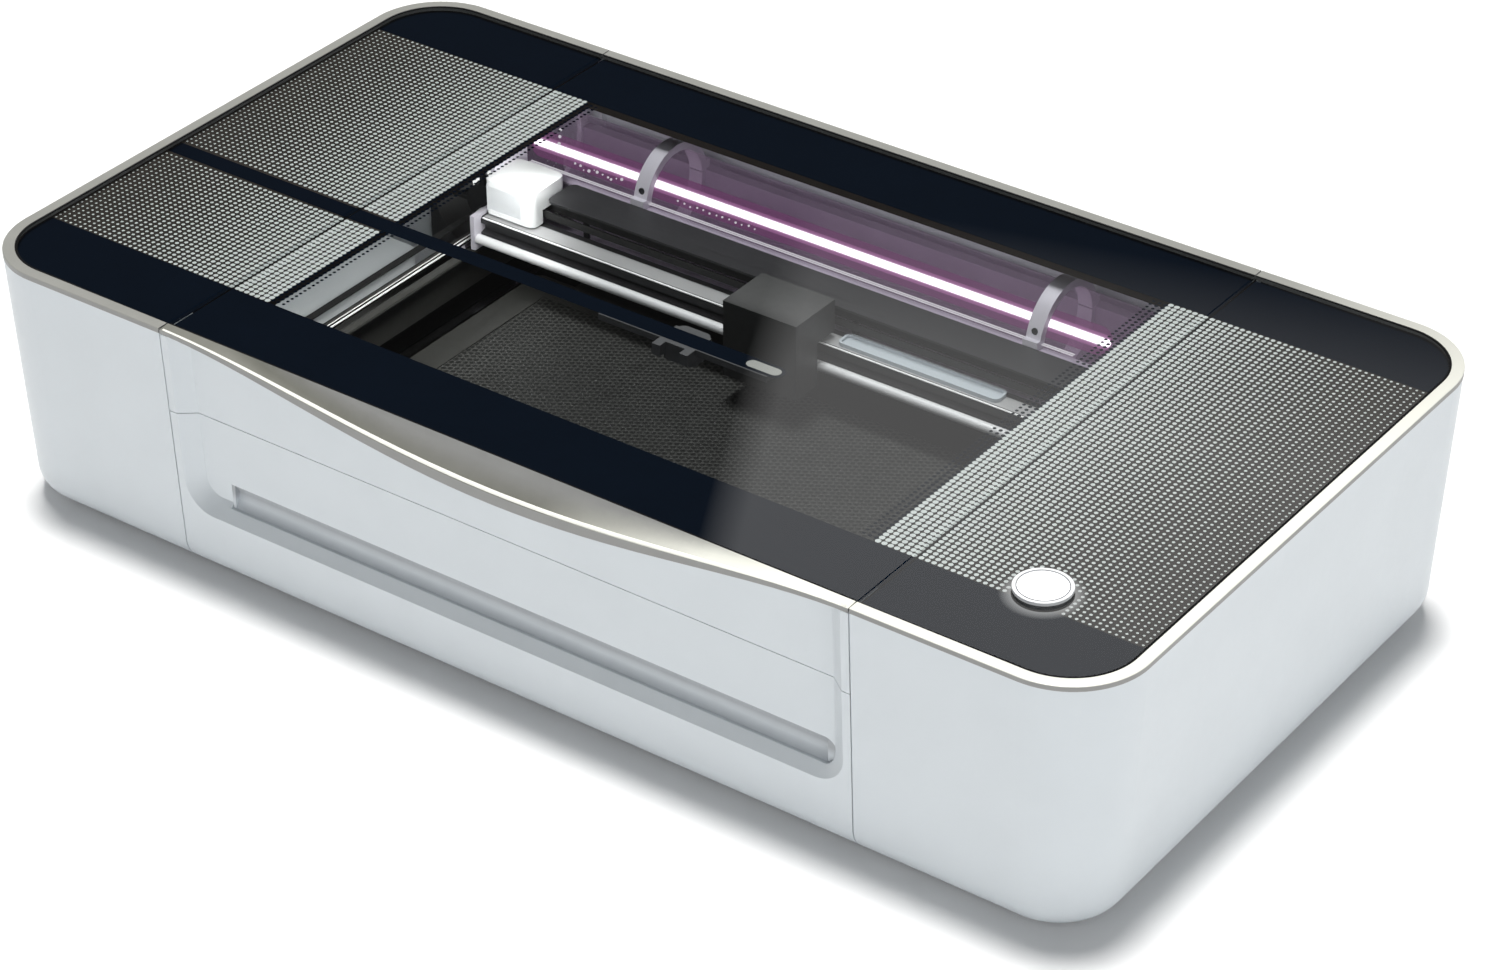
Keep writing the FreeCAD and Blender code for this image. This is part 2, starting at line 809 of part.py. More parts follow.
def make_top():
    """The rim ring, cut at the seams, with the glass panes inside it and decks below."""
    rim_z = ("case_height - rim_height", "case_height")
    outer = plate("rim_outer", (f"-{HALF_W}", HALF_W), (f"-{HALF_D}", HALF_D), rim_z, "case_corner")
    doc.recompute()
    pad = outer.Tip
    top_edges = [f"Edge{i + 1}" for i, edge in enumerate(pad.Shape.Edges)
                 if edge.BoundBox.ZMin > pad.Shape.BoundBox.ZMax - SAME]
    bevel = outer.newObject("PartDesign::Fillet", "rim_outer_round")
    bevel.Base = (pad, top_edges)
    bind(bevel, "Radius", "rim_bevel")
    inner = plate("rim_inner", (f"-({HALF_W} - rim_width)", f"{HALF_W} - rim_width"),
                  (f"-({HALF_D} - rim_width)", f"{HALF_D} - rim_width"),
                  ("case_height - rim_height - over", "case_height + over"), "case_corner - rim_width")
    ring = cut("rim_ring", outer, inner)
    pane = plate("pane_form", (f"-({HALF_W} - rim_width - glass_gap)", f"{HALF_W} - rim_width - glass_gap"),
                 (f"-({HALF_D} - rim_width - glass_gap)", f"{HALF_D} - rim_width - glass_gap"),
                 ("glass_low", "glass_low + glass_thick"), "case_corner - rim_width - glass_gap")
    deck = plate("deck_form", (f"-({HALF_W} - wall - deck_gap)", f"{HALF_W} - wall - deck_gap"),
                 (f"-({HALF_D} - wall - deck_gap)", f"{HALF_D} - wall - deck_gap"), ("deck_low", "deck_top"),
                 "case_corner - wall - deck_gap")
    barrel_hole = rod("button_hole", "Z", ("button_x", "button_y", "deck_low - over"),
                      "case_height - deck_low + 2 * over", "button_barrel + barrel_gap")
    for side, label in ((-1, "left"), (1, "right")):
        whole = ((f"-{HALF_D}", HALF_D), ("0", "case_height + over"))
        rim_span = block(f"rim_span_{label}", mirrored(side, "seam_at + seam_gap", HALF_W), *whole)
        node(common(f"rim_{label}", ring, rim_span), f"rim_{label}")
        glass_span = block(f"glass_span_{label}", mirrored(side, "seam_at + seam_gap", HALF_W), *whole)
        glass = common(f"glass_body_{label}", pane, glass_span)
        deck_span = block(f"deck_span_{label}", mirrored(side, "deck_start", HALF_W), *whole)
        deck_body = common(f"deck_body_{label}", deck, deck_span)
        pocket_x = mirrored(side, "deck_start + deck_edge", "deck_start + deck_pocket_end")
        hollows = [block(f"deck_pocket_{label}_{i}", pocket_x,
                         (f"{i} * deck_pocket_pitch - deck_pocket_wide / 2",
                          f"{i} * deck_pocket_pitch + deck_pocket_wide / 2"),
                         ("deck_low - margin", "deck_low + deck_pocket_depth"))
                   for i in DECK_POCKETS]
        if side > 0:
            node(cut("glass_right", glass, barrel_hole), "glass_right")
            node(cut("deck_right", deck_body, barrel_hole, *hollows), "deck_right")
        else:
            node(glass, "glass_left")
            node(cut("deck_left", deck_body, *hollows), "deck_left")
    return ring, pane


def make_button():
    """Lit push button that stands a little proud of the right glass."""
    place_xy = ("button_x", "button_y")
    low = "deck_low - button_depth"
    glass_top = "glass_low + glass_thick"
    flange = rod("button_flange", "Z", (*place_xy, glass_top + " + hair"), f"button_top - ({glass_top})",
                 "button_outer")
    barrel = rod("button_barrel_body", "Z", (*place_xy, low), f"button_top - ({low})", "button_barrel")
    well = rod("button_well", "Z", (*place_xy, f"{low} + button_floor"), f"button_top - ({low})",
               "button_inner")
    node(cut("button_ring", fuse("button_body", flange, barrel), well), "button_ring")
    disc = turned("button_cap", "Z", (*place_xy, "button_top - press_thick"), [
        ("0", "0"), ("0", "button_cap"), ("press_thick - press_bevel", "button_cap"),
        ("press_thick", "button_cap - press_bevel"), ("press_thick + press_dome", "0")])
    node(disc, "button_cap")


# ---------------------------------------------------------------------------------- lid

def lip_fall(x):
    """Share of the lip's drop at a place across the lid: one at the middle, none at the seams."""
    return (1 - (x / size("seam_at")) ** 2) ** 2


def lip_section(x):
    """Closed section of the lip at one place across: leaf, edge, vertical band and back."""
    front = -size(HALF_D) - size("lip_bulge") * (1 - (x / size("seam_at")) ** 2)
    back = -size(HALF_D) + size("rim_width")
    top = size("case_height")
    edge = size("lip_edge") - size("lip_drop") * lip_fall(x)
    low = top - size("rim_height") - size("lip_band_drop") * lip_fall(x)
    hollow = size("lip_hollow_end") + size("lip_hollow") * lip_fall(x)
    start = Vector(x, back, top)
    end = Vector(x, front, edge)
    along = end - start
    inward = Vector(0, -along.z, along.y).normalize()
    if inward.z > 0:
        inward = -inward
    middle = (start + end) / 2 + inward * hollow
    leaf = Part.Arc(start, middle, end).toShape()
    corners = [end, Vector(x, front, low), Vector(x, back, low), start]
    sides = [Part.LineSegment(a, b).toShape() for a, b in zip(corners, corners[1:])]
    return Part.Wire([leaf] + sides)


def make_lid(ring, pane, form, door_core):
    """Lid: glass, lip and rear rim in metal, white front, and the frame that holds them."""
    whole_y = (f"-{HALF_D}", HALF_D)
    high = ("0", "case_height + over")
    node(common("lid_glass", pane, block("lid_glass_span", ("-door_half", "door_half"), whole_y, high)),
         "lid_glass")
    half = size("door_half")
    sections = [lip_section(half * math.sin(math.pi * (i / LIP_STATIONS - 1 / 2)))
                for i in range(LIP_STATIONS + 1)]
    lip = doc.addObject("Part::Feature", "lid_front_rim")
    lip.Shape = Part.makeLoft(sections, True, False)
    node(lip, "lid_front_rim")
    make_lid_rear_rim(ring)
    make_lid_front(form, door_core)
    make_lid_frame()


def make_lid_rear_rim(ring):
    """Rear stretch of rim, with the moving barrels of the lid hinges."""
    bar = common("rear_rim_bar", ring, block("rear_rim_span", ("-door_half", "door_half"), ("0", HALF_D),
                                             ("0", "case_height + over")))
    room = knuckles("rim_room", ("-hinge_end - seam_gap", "hinge_mid - seam_gap"),
                    "hinge_end - hinge_mid + 2 * seam_gap", "knuckle_room")
    barrels = knuckles("rim_barrel", ("-hinge_mid + seam_gap",), "2 * (hinge_mid - seam_gap)", "knuckle")
    bores = knuckles("rim_bore", ("-hinge_mid",), "2 * hinge_mid", "lid_pin + pin_clearance")
    body = fuse("rear_rim_body", cut("rear_rim_notched", bar, *room), *barrels)
    node(cut("lid_rear_rim", body, *bores), "lid_rear_rim")


def recess_tool():
    """Shallow pan-shaped recess in the leaning front, open at its top."""
    body = doc.addObject("PartDesign::Body", "recess_tool")
    sketches = []
    proud = ("0 - recess_slope * recess_over / recess_depth", "0 - recess_over")
    for i, (inset, depth) in enumerate((proud, ("recess_slope", "recess_depth"))):
        sketch = body.newObject("Sketcher::SketchObject", f"recess_sketch_{i}")
        plane = next(f for f in body.Origin.OriginFeatures if f.Role == "XZ_Plane")
        sketch.AttachmentSupport = (plane, [""])
        sketch.MapMode = "FlatFace"
        bind(sketch, "AttachmentOffset.Base.z", f"0 - ({depth})")
        half = f"recess_half - ({inset})"
        rounded_outline(sketch, (f"-({half})", half), (f"recess_foot + ({inset}) - case_height",
                                                       "2 * recess_corner"),
                        f"recess_corner - ({inset}) * recess_turn")
        sketches.append(sketch)
    loft = body.newObject("PartDesign::AdditiveLoft", "recess_loft")
    loft.Profile = sketches[0]
    loft.Sections = sketches[1:]
    loft.Ruled = True
    lean = math.degrees(math.atan(size("case_draft") / size("case_height - foot_height")))
    body.Placement = Placement(Vector(), Rotation(Vector(1, 0, 0), lean))
    place(body, "0", f"-{HALF_D}", "case_height")
    return body


def front_panel(name, form, door_core, z, reach):
    """A stretch of the front between two heights, behind the casing form and thick enough for the recess."""
    span = block(f"{name}_span", ("-door_half", "door_half"), (f"-{HALF_D}", reach), z)
    return cut(f"{name}_wall", common(f"{name}_part", form, span), door_core)


def make_lid_front(form, door_core):
    panel = front_panel("lid_front", form, door_core, ("lid_front_low", "lid_front_top"),
                        "-door_axis_y - front_gap")
    node(cut("lid_fascia", panel, recess_tool()), "lid_fascia")


def make_lid_frame():
    """Flat frame under the lid glass, with the camera and a light strip below it."""
    frame_x = ("-door_half + glass_gap", "door_half - glass_gap")
    slab = block("frame_slab", frame_x, ("-frame_front", "frame_back"), ("deck_low", "deck_top"))
    window = block("frame_window", ("-window_half", "window_half"), ("-window_front", "window_back"),
                   ("deck_low - over", "deck_top + over"))
    node(cut("lid_frame", slab, window), "lid_frame")
    top = "glass_low - sheet_gap"
    bar = block("camera_bar", ("camera_x - camera_bar_left", "camera_x + camera_bar_right"),
                ("camera_y - camera_bar_front", "camera_y + camera_bar_back"), (f"{top} - camera_bar_thick",
                                                                                top))
    pod = plate("camera_pod", ("camera_x - pod_half", "camera_x + pod_half"),
                ("camera_y - pod_deep", "camera_y + pod_deep"), (f"{top} - pod_thick", top), "pod_corner")
    lens = rod("camera_lens_barrel", "Z", ("camera_x", "camera_y", f"{top} - pod_thick - camera_lens_drop"),
               "camera_lens_drop + margin", "camera_lens")
    clips = [block(f"camera_clip_{i}", (start, f"{start} + clip_wide"), ("camera_y - clip_front",
                                                                         "camera_y + clip_back"),
                   (f"{top} - clip_thick", top))
             for i, start in enumerate(("camera_x - clip_left", "camera_x + clip_right"))]
    node(fuse("lid_camera", bar, pod, lens, *clips), "lid_camera")
    strip_top = "deck_low - sheet_gap"
    strip = profile("lid_light", "X", [
        ("light_y - light_half", strip_top), ("light_y - light_half", "deck_low - light_side"),
        ("light_y", "deck_low - light_drop"), ("light_y + light_half", "deck_low - light_side"),
        ("light_y + light_half", strip_top)], "-light_long", "light_long")
    node(strip, "lid_light")


# --------------------------------------------------------------------------------- door

def scoop_form(name, grow, y):
    """The scoop's outline: flat at its left end, half round at its right end."""
    low = f"scoop_low - ({grow})"
    high = f"scoop_high + ({grow})"
    middle = "(scoop_low + scoop_high) / 2"
    radius = "(scoop_high - scoop_low) / 2"
    bar = block(f"{name}_bar", (f"-scoop_left - ({grow})", f"scoop_right - {radius}"), y, (low, high))
    end = rod(f"{name}_end", "Y", (f"scoop_right - {radius}", y[0], middle), f"({y[1]}) - ({y[0]})",
              f"{radius} + ({grow})")
    return fuse(name, bar, end)


def make_door(form, door_core):
    """Drop-down front door and the scooped shutter that closes its feed slot."""
    panel = front_panel("door", form, door_core, ("door_low", "door_top"), "-door_axis_y + front_gap")
    ears = []
    bores = []
    for side, label in ((-1, "left"), (1, "right")):
        ear_x = mirrored(side, "door_ear_in", "door_ear_out")
        ears.append(rod(f"door_ear_{label}", "X", (ear_x[0], "-door_axis_y", "door_axis_z"),
                        "door_ear_out - door_ear_in", "door_ear"))
        ears.append(block(f"door_ear_root_{label}", ear_x, ("-door_axis_y - door_ear_root", "-door_axis_y"),
                          ("door_axis_z - door_ear", "door_axis_z + door_ear")))
        bore_x = mirrored(side, "door_ear_in - margin", "door_half + margin")[0]
        bores.append(rod(f"door_ear_bore_{label}", "X", (bore_x, "-door_axis_y", "door_axis_z"),
                         "door_half - door_ear_in + 2 * margin", "door_pin + pin_clearance"))
    slot = scoop_form("door_slot", "0", (f"-{HALF_D}", "-tub_front"))
    door = cut("door_recessed", fuse("door_with_ears", panel, *ears), doc.getObject("recess_tool"), slot,
               *bores)
    node(door, "front_door")
    face = f"-{HALF_D} + recess_depth + case_draft * (case_height - scoop_high) / (case_height - foot_height)"
    middle = "(scoop_low + scoop_high) / 2"
    plug = scoop_form("shutter_plug", "0 - shutter_gap",
                      (f"{face} + sheet_gap", f"{face} + scoop_depth + shutter_skin"))
    half = "(scoop_high - scoop_low) / 2"
    hollow_radius = f"(({half}) * ({half}) + scoop_depth * scoop_depth) / (2 * scoop_depth)"
    hollow = rod("shutter_hollow", "X",
                 ("-scoop_left + shutter_left", f"{face} + scoop_depth - ({hollow_radius})", middle),
                 "scoop_left - shutter_left + scoop_right - shutter_right", f"{hollow_radius} - shutter_ease")
    node(cut("slot_shutter", plug, hollow), "slot_shutter")


def make_hinge_pins():
    """Two long pins for the lid and two stub pins for the door."""
    pins = knuckles("lid_hinge_pin", ("-hinge_end",), "2 * hinge_end", "lid_pin")
    for side, label in ((-1, "left"), (1, "right")):
        start = mirrored(side, "door_pin_in", "door_pin_end")[0]
        pins.append(rod(f"door_hinge_pin_{label}", "X", (start, "-door_axis_y", "door_axis_z"),
                        "door_pin_end - door_pin_in", "door_pin"))
    node(group("hinge_pins", *pins), "hinge_pins")


# ---------------------------------------------------------------------- tub, rails, tray

def make_tub():
    """Sheet-metal tub with rail flanges, the two rails, the tray guides and the crumb tray."""
    wall_in = "tub_half - sheet"
    floor = block("tub_floor_sheet", ("-tub_half", "tub_half"), ("-tub_front", "tub_back"),
                  ("tub_floor", "tub_floor + sheet"))
    back = block("tub_back_wall", ("-tub_half", "tub_half"), ("tub_back - sheet", "tub_back"),
                 ("tub_floor", "tub_top"))
    parts = [floor, back]
    for side, label in ((-1, "left"), (1, "right")):
        parts.append(block(f"tub_wall_{label}", mirrored(side, wall_in, "tub_half"), ("-tub_front",
                                                                                      "tub_back"),
                           ("tub_floor", "tub_top")))
        parts.append(block(f"tub_flange_{label}", mirrored(side, "flange_in", "tub_half"), ("-tub_front",
                                                                                            "tub_back"),
                           ("tub_top", "tub_top + flange_thick")))
        for i in (-1, 0, 1):
            parts.append(block(f"tub_leg_{label}_{i}", mirrored(side, "leg_in", "leg_out"),
                               (f"{i} * leg_pitch", f"{i} * leg_pitch + leg_long"), ("pan_top", "tub_floor")))
    node(fuse("inner_tub", *parts), "inner_tub")
    rails = []
    guides = []
    for side, label in ((-1, "left"), (1, "right")):
        centre = f"{side} * rail_at"
        low = "tub_top + flange_thick"
        rails.append(profile(f"rail_{label}", "Y", [
            (f"{centre} - rail_half - rail_foot", low), (f"{centre} + rail_half + rail_foot", low),
            (f"{centre} + rail_half + rail_foot", f"{low} + rail_foot_high"), (f"{centre} + rail_half",
                                                                               "rail_top"),
            (f"{centre} - rail_half", "rail_top"), (f"{centre} - rail_half - rail_foot",
                                                    f"{low} + rail_foot_high")],
            "-tub_front", "rail_end"))
        bar = block(f"guide_bar_{label}", mirrored(side, "guide_in", "guide_out"),
                    ("-tub_front", "tub_back - sheet"), ("tub_floor + sheet", "guide_top"))
        groove = block(f"guide_groove_{label}", mirrored(side, "guide_groove", "guide_groove + groove_wide"),
                       (f"-{HALF_D}", HALF_D), ("guide_top - groove_deep", "guide_top + over"))
        channel = block(f"guide_channel_{label}", mirrored(side, "guide_in + guide_wall",
                                                           "guide_out + margin"),
                        (f"-{HALF_D}", HALF_D), ("tub_floor + sheet + guide_wall",
                                                 "guide_top - 2 * guide_wall"))
        guides.append(cut(f"guide_{label}", bar, groove, channel))
    node(group("y_rails", *rails), "y_rails")
    node(group("tray_guides", *guides), "tray_guides")
    make_tray()


def make_tray():
    """Crumb tray with a border, and the honeycomb bed that lies inside it, hollow from below."""
    outer = plate("tray_outer", ("-tray_half", "tray_half"), ("-tray_front", "tray_back"), ("tray_low",
                                                                                            "tray_top"),
                  "tray_corner")
    inner_x = ("-tray_half + tray_sheet", "tray_half - tray_sheet")
    hollow = plate("tray_hollow", inner_x, ("-tray_front + tray_sheet", "tray_back - tray_sheet"),
                   ("tray_low + tray_sheet", "tray_top - tray_sheet"), "tray_corner - tray_sheet")
    mouth = block("tray_mouth", ("-tray_half + tray_border", "tray_half - tray_border"),
                  ("-tray_front + tray_border", "tray_back - tray_border"), ("tray_low + over",
                                                                             "tray_top + over"))
    node(cut("crumb_tray", outer, hollow, mouth), "crumb_tray")
    comb = block("comb_slab", ("-tray_half + tray_border + comb_gap", "tray_half - tray_border - comb_gap"),
                 ("-tray_front + tray_border + comb_gap", "tray_back - tray_border - comb_gap"),
                 ("comb_low", "tray_top - sheet_gap"))
    ledges = [block(f"comb_ledge_{i}", mirrored(side, "tray_half - tray_border - ledge_lap",
                                                "tray_half - ledge_gap"),
                    ("-tray_front + ledge_end", "tray_back - ledge_end"), ("comb_low - ledge_thick",
                                                                           "comb_low"))
              for i, side in enumerate((-1, 1))]
    pockets = []
    for row in range(COMB_ROWS):
        for column in range(COMB_COLUMNS):
            middle_x = f"({column} - {COMB_COLUMNS - 1} / 2) * comb_cell_x"
            middle_y = f"(tray_back - tray_front) / 2 + ({row} - {COMB_ROWS - 1} / 2) * comb_cell_y"
            reach_x = "(comb_cell_x / 2 - comb_rib)"
            reach_y = "(comb_cell_y / 2 - comb_rib)"
            pockets.append(block(f"comb_pocket_{row}_{column}", (f"{middle_x} - {reach_x}",
                                                                 f"{middle_x} + {reach_x}"),
                                 (f"{middle_y} - {reach_y}", f"{middle_y} + {reach_y}"),
                                 ("comb_low - margin", "tray_top - sheet_gap - comb_sheet")))
    node(cut("honeycomb_bed", fuse("comb_body", comb, *ledges), *pockets), "honeycomb_bed")


# ------------------------------------------------------------------------------- gantry

def belt_loop(name, plane, first, second, centre, low, pitch):
    """Flat belt round two equal pulleys: along Y in the YZ plane, or along X in the XY plane."""
    outer = []
    for grow, tag in ((f"{pitch} + belt_thick", "outer"), (pitch, "inner")):
        if plane == "YZ":
            bar = block(f"{name}_{tag}_bar", (low, f"{low} + belt_width"), (first, second),
                        (f"{centre} - ({grow})", f"{centre} + {grow}"))
            ends = [rod(f"{name}_{tag}_end_{i}", "X", (low, y, centre), "belt_width", grow)
                    for i, y in enumerate((first, second))]
        else:
            bar = block(f"{name}_{tag}_bar", (first, second), (f"{centre} - ({grow})", f"{centre} + {grow}"),
                        (low, f"{low} + belt_width"))
            ends = [rod(f"{name}_{tag}_end_{i}", "Z", (x, centre, low), "belt_width", grow)
                    for i, x in enumerate((first, second))]
        outer.append(fuse(f"{name}_{tag}", bar, *ends))
    return cut(name, *outer)


def pulley(name, axis, centre, pitch, flange, bore):
    """Flanged belt pulley, centred on its belt, with a bore for its shaft."""
    half = "belt_width / 2 + pulley_play"
    outer_half = "belt_width / 2 + pulley_end"
    seat = f"{pitch} - part_gap"
    return turned(name, axis, centre, [
        (f"-({outer_half})", bore), (f"-({outer_half})", flange), (f"-({half})", flange), (f"-({half})",
                                                                                           seat),
        (half, seat), (half, flange), (outer_half, flange), (outer_half, bore)])


def make_y_drive():
    """Fixed motors, belts and pulleys that draw the gantry along its rails."""
    motors = []
    belts = []
    drivers = []
    idlers = []
    for side, label in ((-1, "left"), (1, "right")):
        centre = f"{side} * belt_y_at"
        motor_x = mirrored(side, "belt_y_at + motor_gap", "belt_y_at + motor_gap + motor_long")
        case = block(f"y_motor_case_{label}", motor_x,
                     ("-belt_y_front - motor_side / 2", "-belt_y_front + motor_side / 2"),
                     ("belt_z - motor_side / 2", "belt_z + motor_side / 2"))
        stand = block(f"y_motor_stand_{label}", motor_x, ("-belt_y_front + stand_from",
                                                          "-belt_y_front + stand_to"),
                      ("pan_top", "belt_z - motor_side / 2"))
        shaft_x = mirrored(side, "belt_y_at - shaft_stub", "belt_y_at + motor_gap + margin")
        shaft = rod(f"y_motor_shaft_{label}", "X", (shaft_x[0], "-belt_y_front", "belt_z"),
                    "shaft_stub + motor_gap + margin", "axle_radius")
        motors.append(fuse(f"y_motor_{label}", case, stand, shaft))
        belts.append(belt_loop(f"y_belt_{label}", "YZ", "-belt_y_front", "belt_y_back", "belt_z",
                               f"{centre} - belt_width / 2", "pulley_pitch"))
        bore = "axle_radius + pin_clearance"
        drivers.append(pulley(f"y_driver_{label}", "X", (centre, "-belt_y_front", "belt_z"), "pulley_pitch",
                              "pulley_flange", bore))
        idlers.append(pulley(f"y_idler_{label}", "X", (centre, "belt_y_back", "belt_z"), "pulley_pitch",
                             "pulley_flange", bore))
    node(group("y_motors", *motors), "y_motors")
    node(group("y_belts", *belts), "y_belts")
    node(group("y_drive_pulleys", *drivers), "y_drive_pulleys")
    node(group("y_idler_pulleys", *idlers), "y_idler_pulleys")


def make_gantry():
    """Moving gantry: trough, beam and end plates, with cover, rod and cable tray."""
    low = "trough_low"
    floor = "trough_low + trough_sheet"
    lip = "trough_top - trough_sheet"
    inside_back = "trough_back - trough_sheet"
    inside_front = "trough_front + trough_sheet"
    lip_front = "trough_front - trough_flange + trough_sheet"
    start = "beam_back + part_gap"
    trough = profile("gantry_trough", "X", [
        (start, low), ("trough_back", low), ("trough_back", lip), ("trough_back + trough_flange", lip),
        ("trough_back + trough_flange", "trough_top"), (inside_back, "trough_top"), (inside_back, floor),
        (inside_front, floor), (inside_front, "trough_top"), (lip_front, "trough_top"), (lip_front, lip),
        ("trough_front", lip), ("trough_front", floor), (start, floor)], "-beam_half", "beam_half")
    node(trough, "gantry_trough")
    slot = "beam_front + beam_slot"
    beam = profile("x_beam", "X", [
        ("beam_front", low), ("beam_back", low), ("beam_back", "beam_top"), ("beam_front + beam_bevel",
                                                                             "beam_top"),
        ("beam_front", "beam_top - beam_bevel"), ("beam_front", "rod_z + beam_slot_top"),
        (slot, "rod_z + beam_slot_top - beam_slot_lean"), (slot, "rod_z + beam_slot_low + beam_slot_lean"),
        ("beam_front", "rod_z + beam_slot_low")], "-beam_half", "beam_half")
    node(beam, "x_beam")
    node(rod("x_guide_rod", "X", ("-beam_half", "rod_y", "rod_z"), "2 * beam_half", "rod_radius"),
         "x_guide_rod")
    cover_low = "trough_top + sheet_gap"
    cover = plate("cover_plate", ("-cover_left", "cover_right"),
                  ("cover_front", "trough_front - trough_flange + cover_lap"),
                  (cover_low, f"{cover_low} + cover_thick"), "cover_corner")
    posts = [rod(f"cover_post_{i}", "Z", (x, "cover_front + post_in", floor), f"{cover_low} - ({floor})",
                 "axle_radius")
             for i, x in enumerate(("-cover_left + post_end", "head_right", "cover_right - post_end"))]
    node(fuse("gantry_cover", cover, *posts), "gantry_cover")
    make_end_plates()
    make_cable_tray()


def make_end_plates():
    """End plates with stub axles for the wheels and clamps that grip the drive belts."""
    plates = []
    for side, label in ((-1, "left"), (1, "right")):
        through = mirrored(side, "beam_half - margin", "plate_out + margin")
        panel = block(f"end_panel_{label}", mirrored(side, "beam_half + part_gap", "plate_out"),
                      ("plate_front", "trough_back + plate_behind"), ("plate_low", "plate_top"))
        corner = block(f"end_corner_{label}", through, ("plate_front - margin", "beam_back - plate_step"),
                       ("beam_top + plate_step_up", "plate_top + margin"))
        tube_hole = rod(f"end_tube_hole_{label}", "X", (through[0], "tube_y", "tube_z"),
                        "plate_out - beam_half + 2 * margin", "tube_radius + margin")
        window = block(f"end_window_{label}", through, ("tube_y - tube_radius - margin",
                                                        "tube_y + tube_radius + margin"),
                       ("tube_z", "plate_top + over"))
        tunnel = fuse(f"end_tunnel_{label}", window, tube_hole)
        axle_start = mirrored(side, "plate_out", "rail_at + wheel_half")[0]
        axles = [rod(f"wheel_axle_{label}_{i}", "X", (axle_start, y, "wheel_z"),
                     "rail_at + wheel_half - plate_out",
                     "axle_radius")
                 for i, y in enumerate(("wheel_y_front", "wheel_y_back"))]
        grip_z = ("grip_low", "grip_top")
        arm = block(f"belt_arm_{label}", mirrored(side, "plate_out - margin", "belt_y_at + grip_half"),
                    ("grip_y - grip_arm", "grip_y + grip_arm"), grip_z)
        jaw = block(f"belt_jaw_{label}", mirrored(side, "belt_y_at - grip_half", "belt_y_at + grip_half"),
                    ("grip_y - grip_jaw", "grip_y + grip_jaw"), grip_z)
        plates.append(fuse(f"end_plate_{label}", cut(f"end_sheet_{label}", panel, corner, tunnel), *axles,
                           arm, jaw))
    node(group("gantry_end_plates", *plates), "gantry_end_plates")
    for place_word, y in (("front", "wheel_y_front"), ("back", "wheel_y_back")):
        bore = "axle_radius + pin_clearance"
        shoulder = "wheel_radius - wheel_bevel"
        wheels = [turned(f"wheel_{place_word}_{label}", "X", (f"{side} * rail_at", y, "wheel_z"), [
                      ("-wheel_half", bore), ("-wheel_half", shoulder), ("-wheel_half + wheel_bevel",
                                                                         "wheel_radius"),
                      ("wheel_half - wheel_bevel", "wheel_radius"), ("wheel_half", shoulder), ("wheel_half",
                                                                                               bore)])
                  for side, label in ((-1, "left"), (1, "right"))]
        node(group(f"gantry_wheels_{place_word}", *wheels), f"gantry_wheels_{place_word}")


def make_cable_tray():
    """Shallow tray on the right of the beam that holds the head's flat cable."""
    body = plate("cable_tray_outer", ("cable_left", "cable_right"), ("cable_front", "cable_back"),
                 ("beam_top", "beam_top + cable_high"), "cable_corner")
    hollow = plate("cable_tray_hollow", ("cable_left + cable_wall", "cable_right - cable_wall"),
                   ("cable_front + cable_wall", "cable_back - cable_wall"),
                   ("beam_top + cable_floor", "beam_top + cable_high + over"), "cable_corner - cable_wall")
    node(cut("cable_tray", body, hollow), "cable_tray")


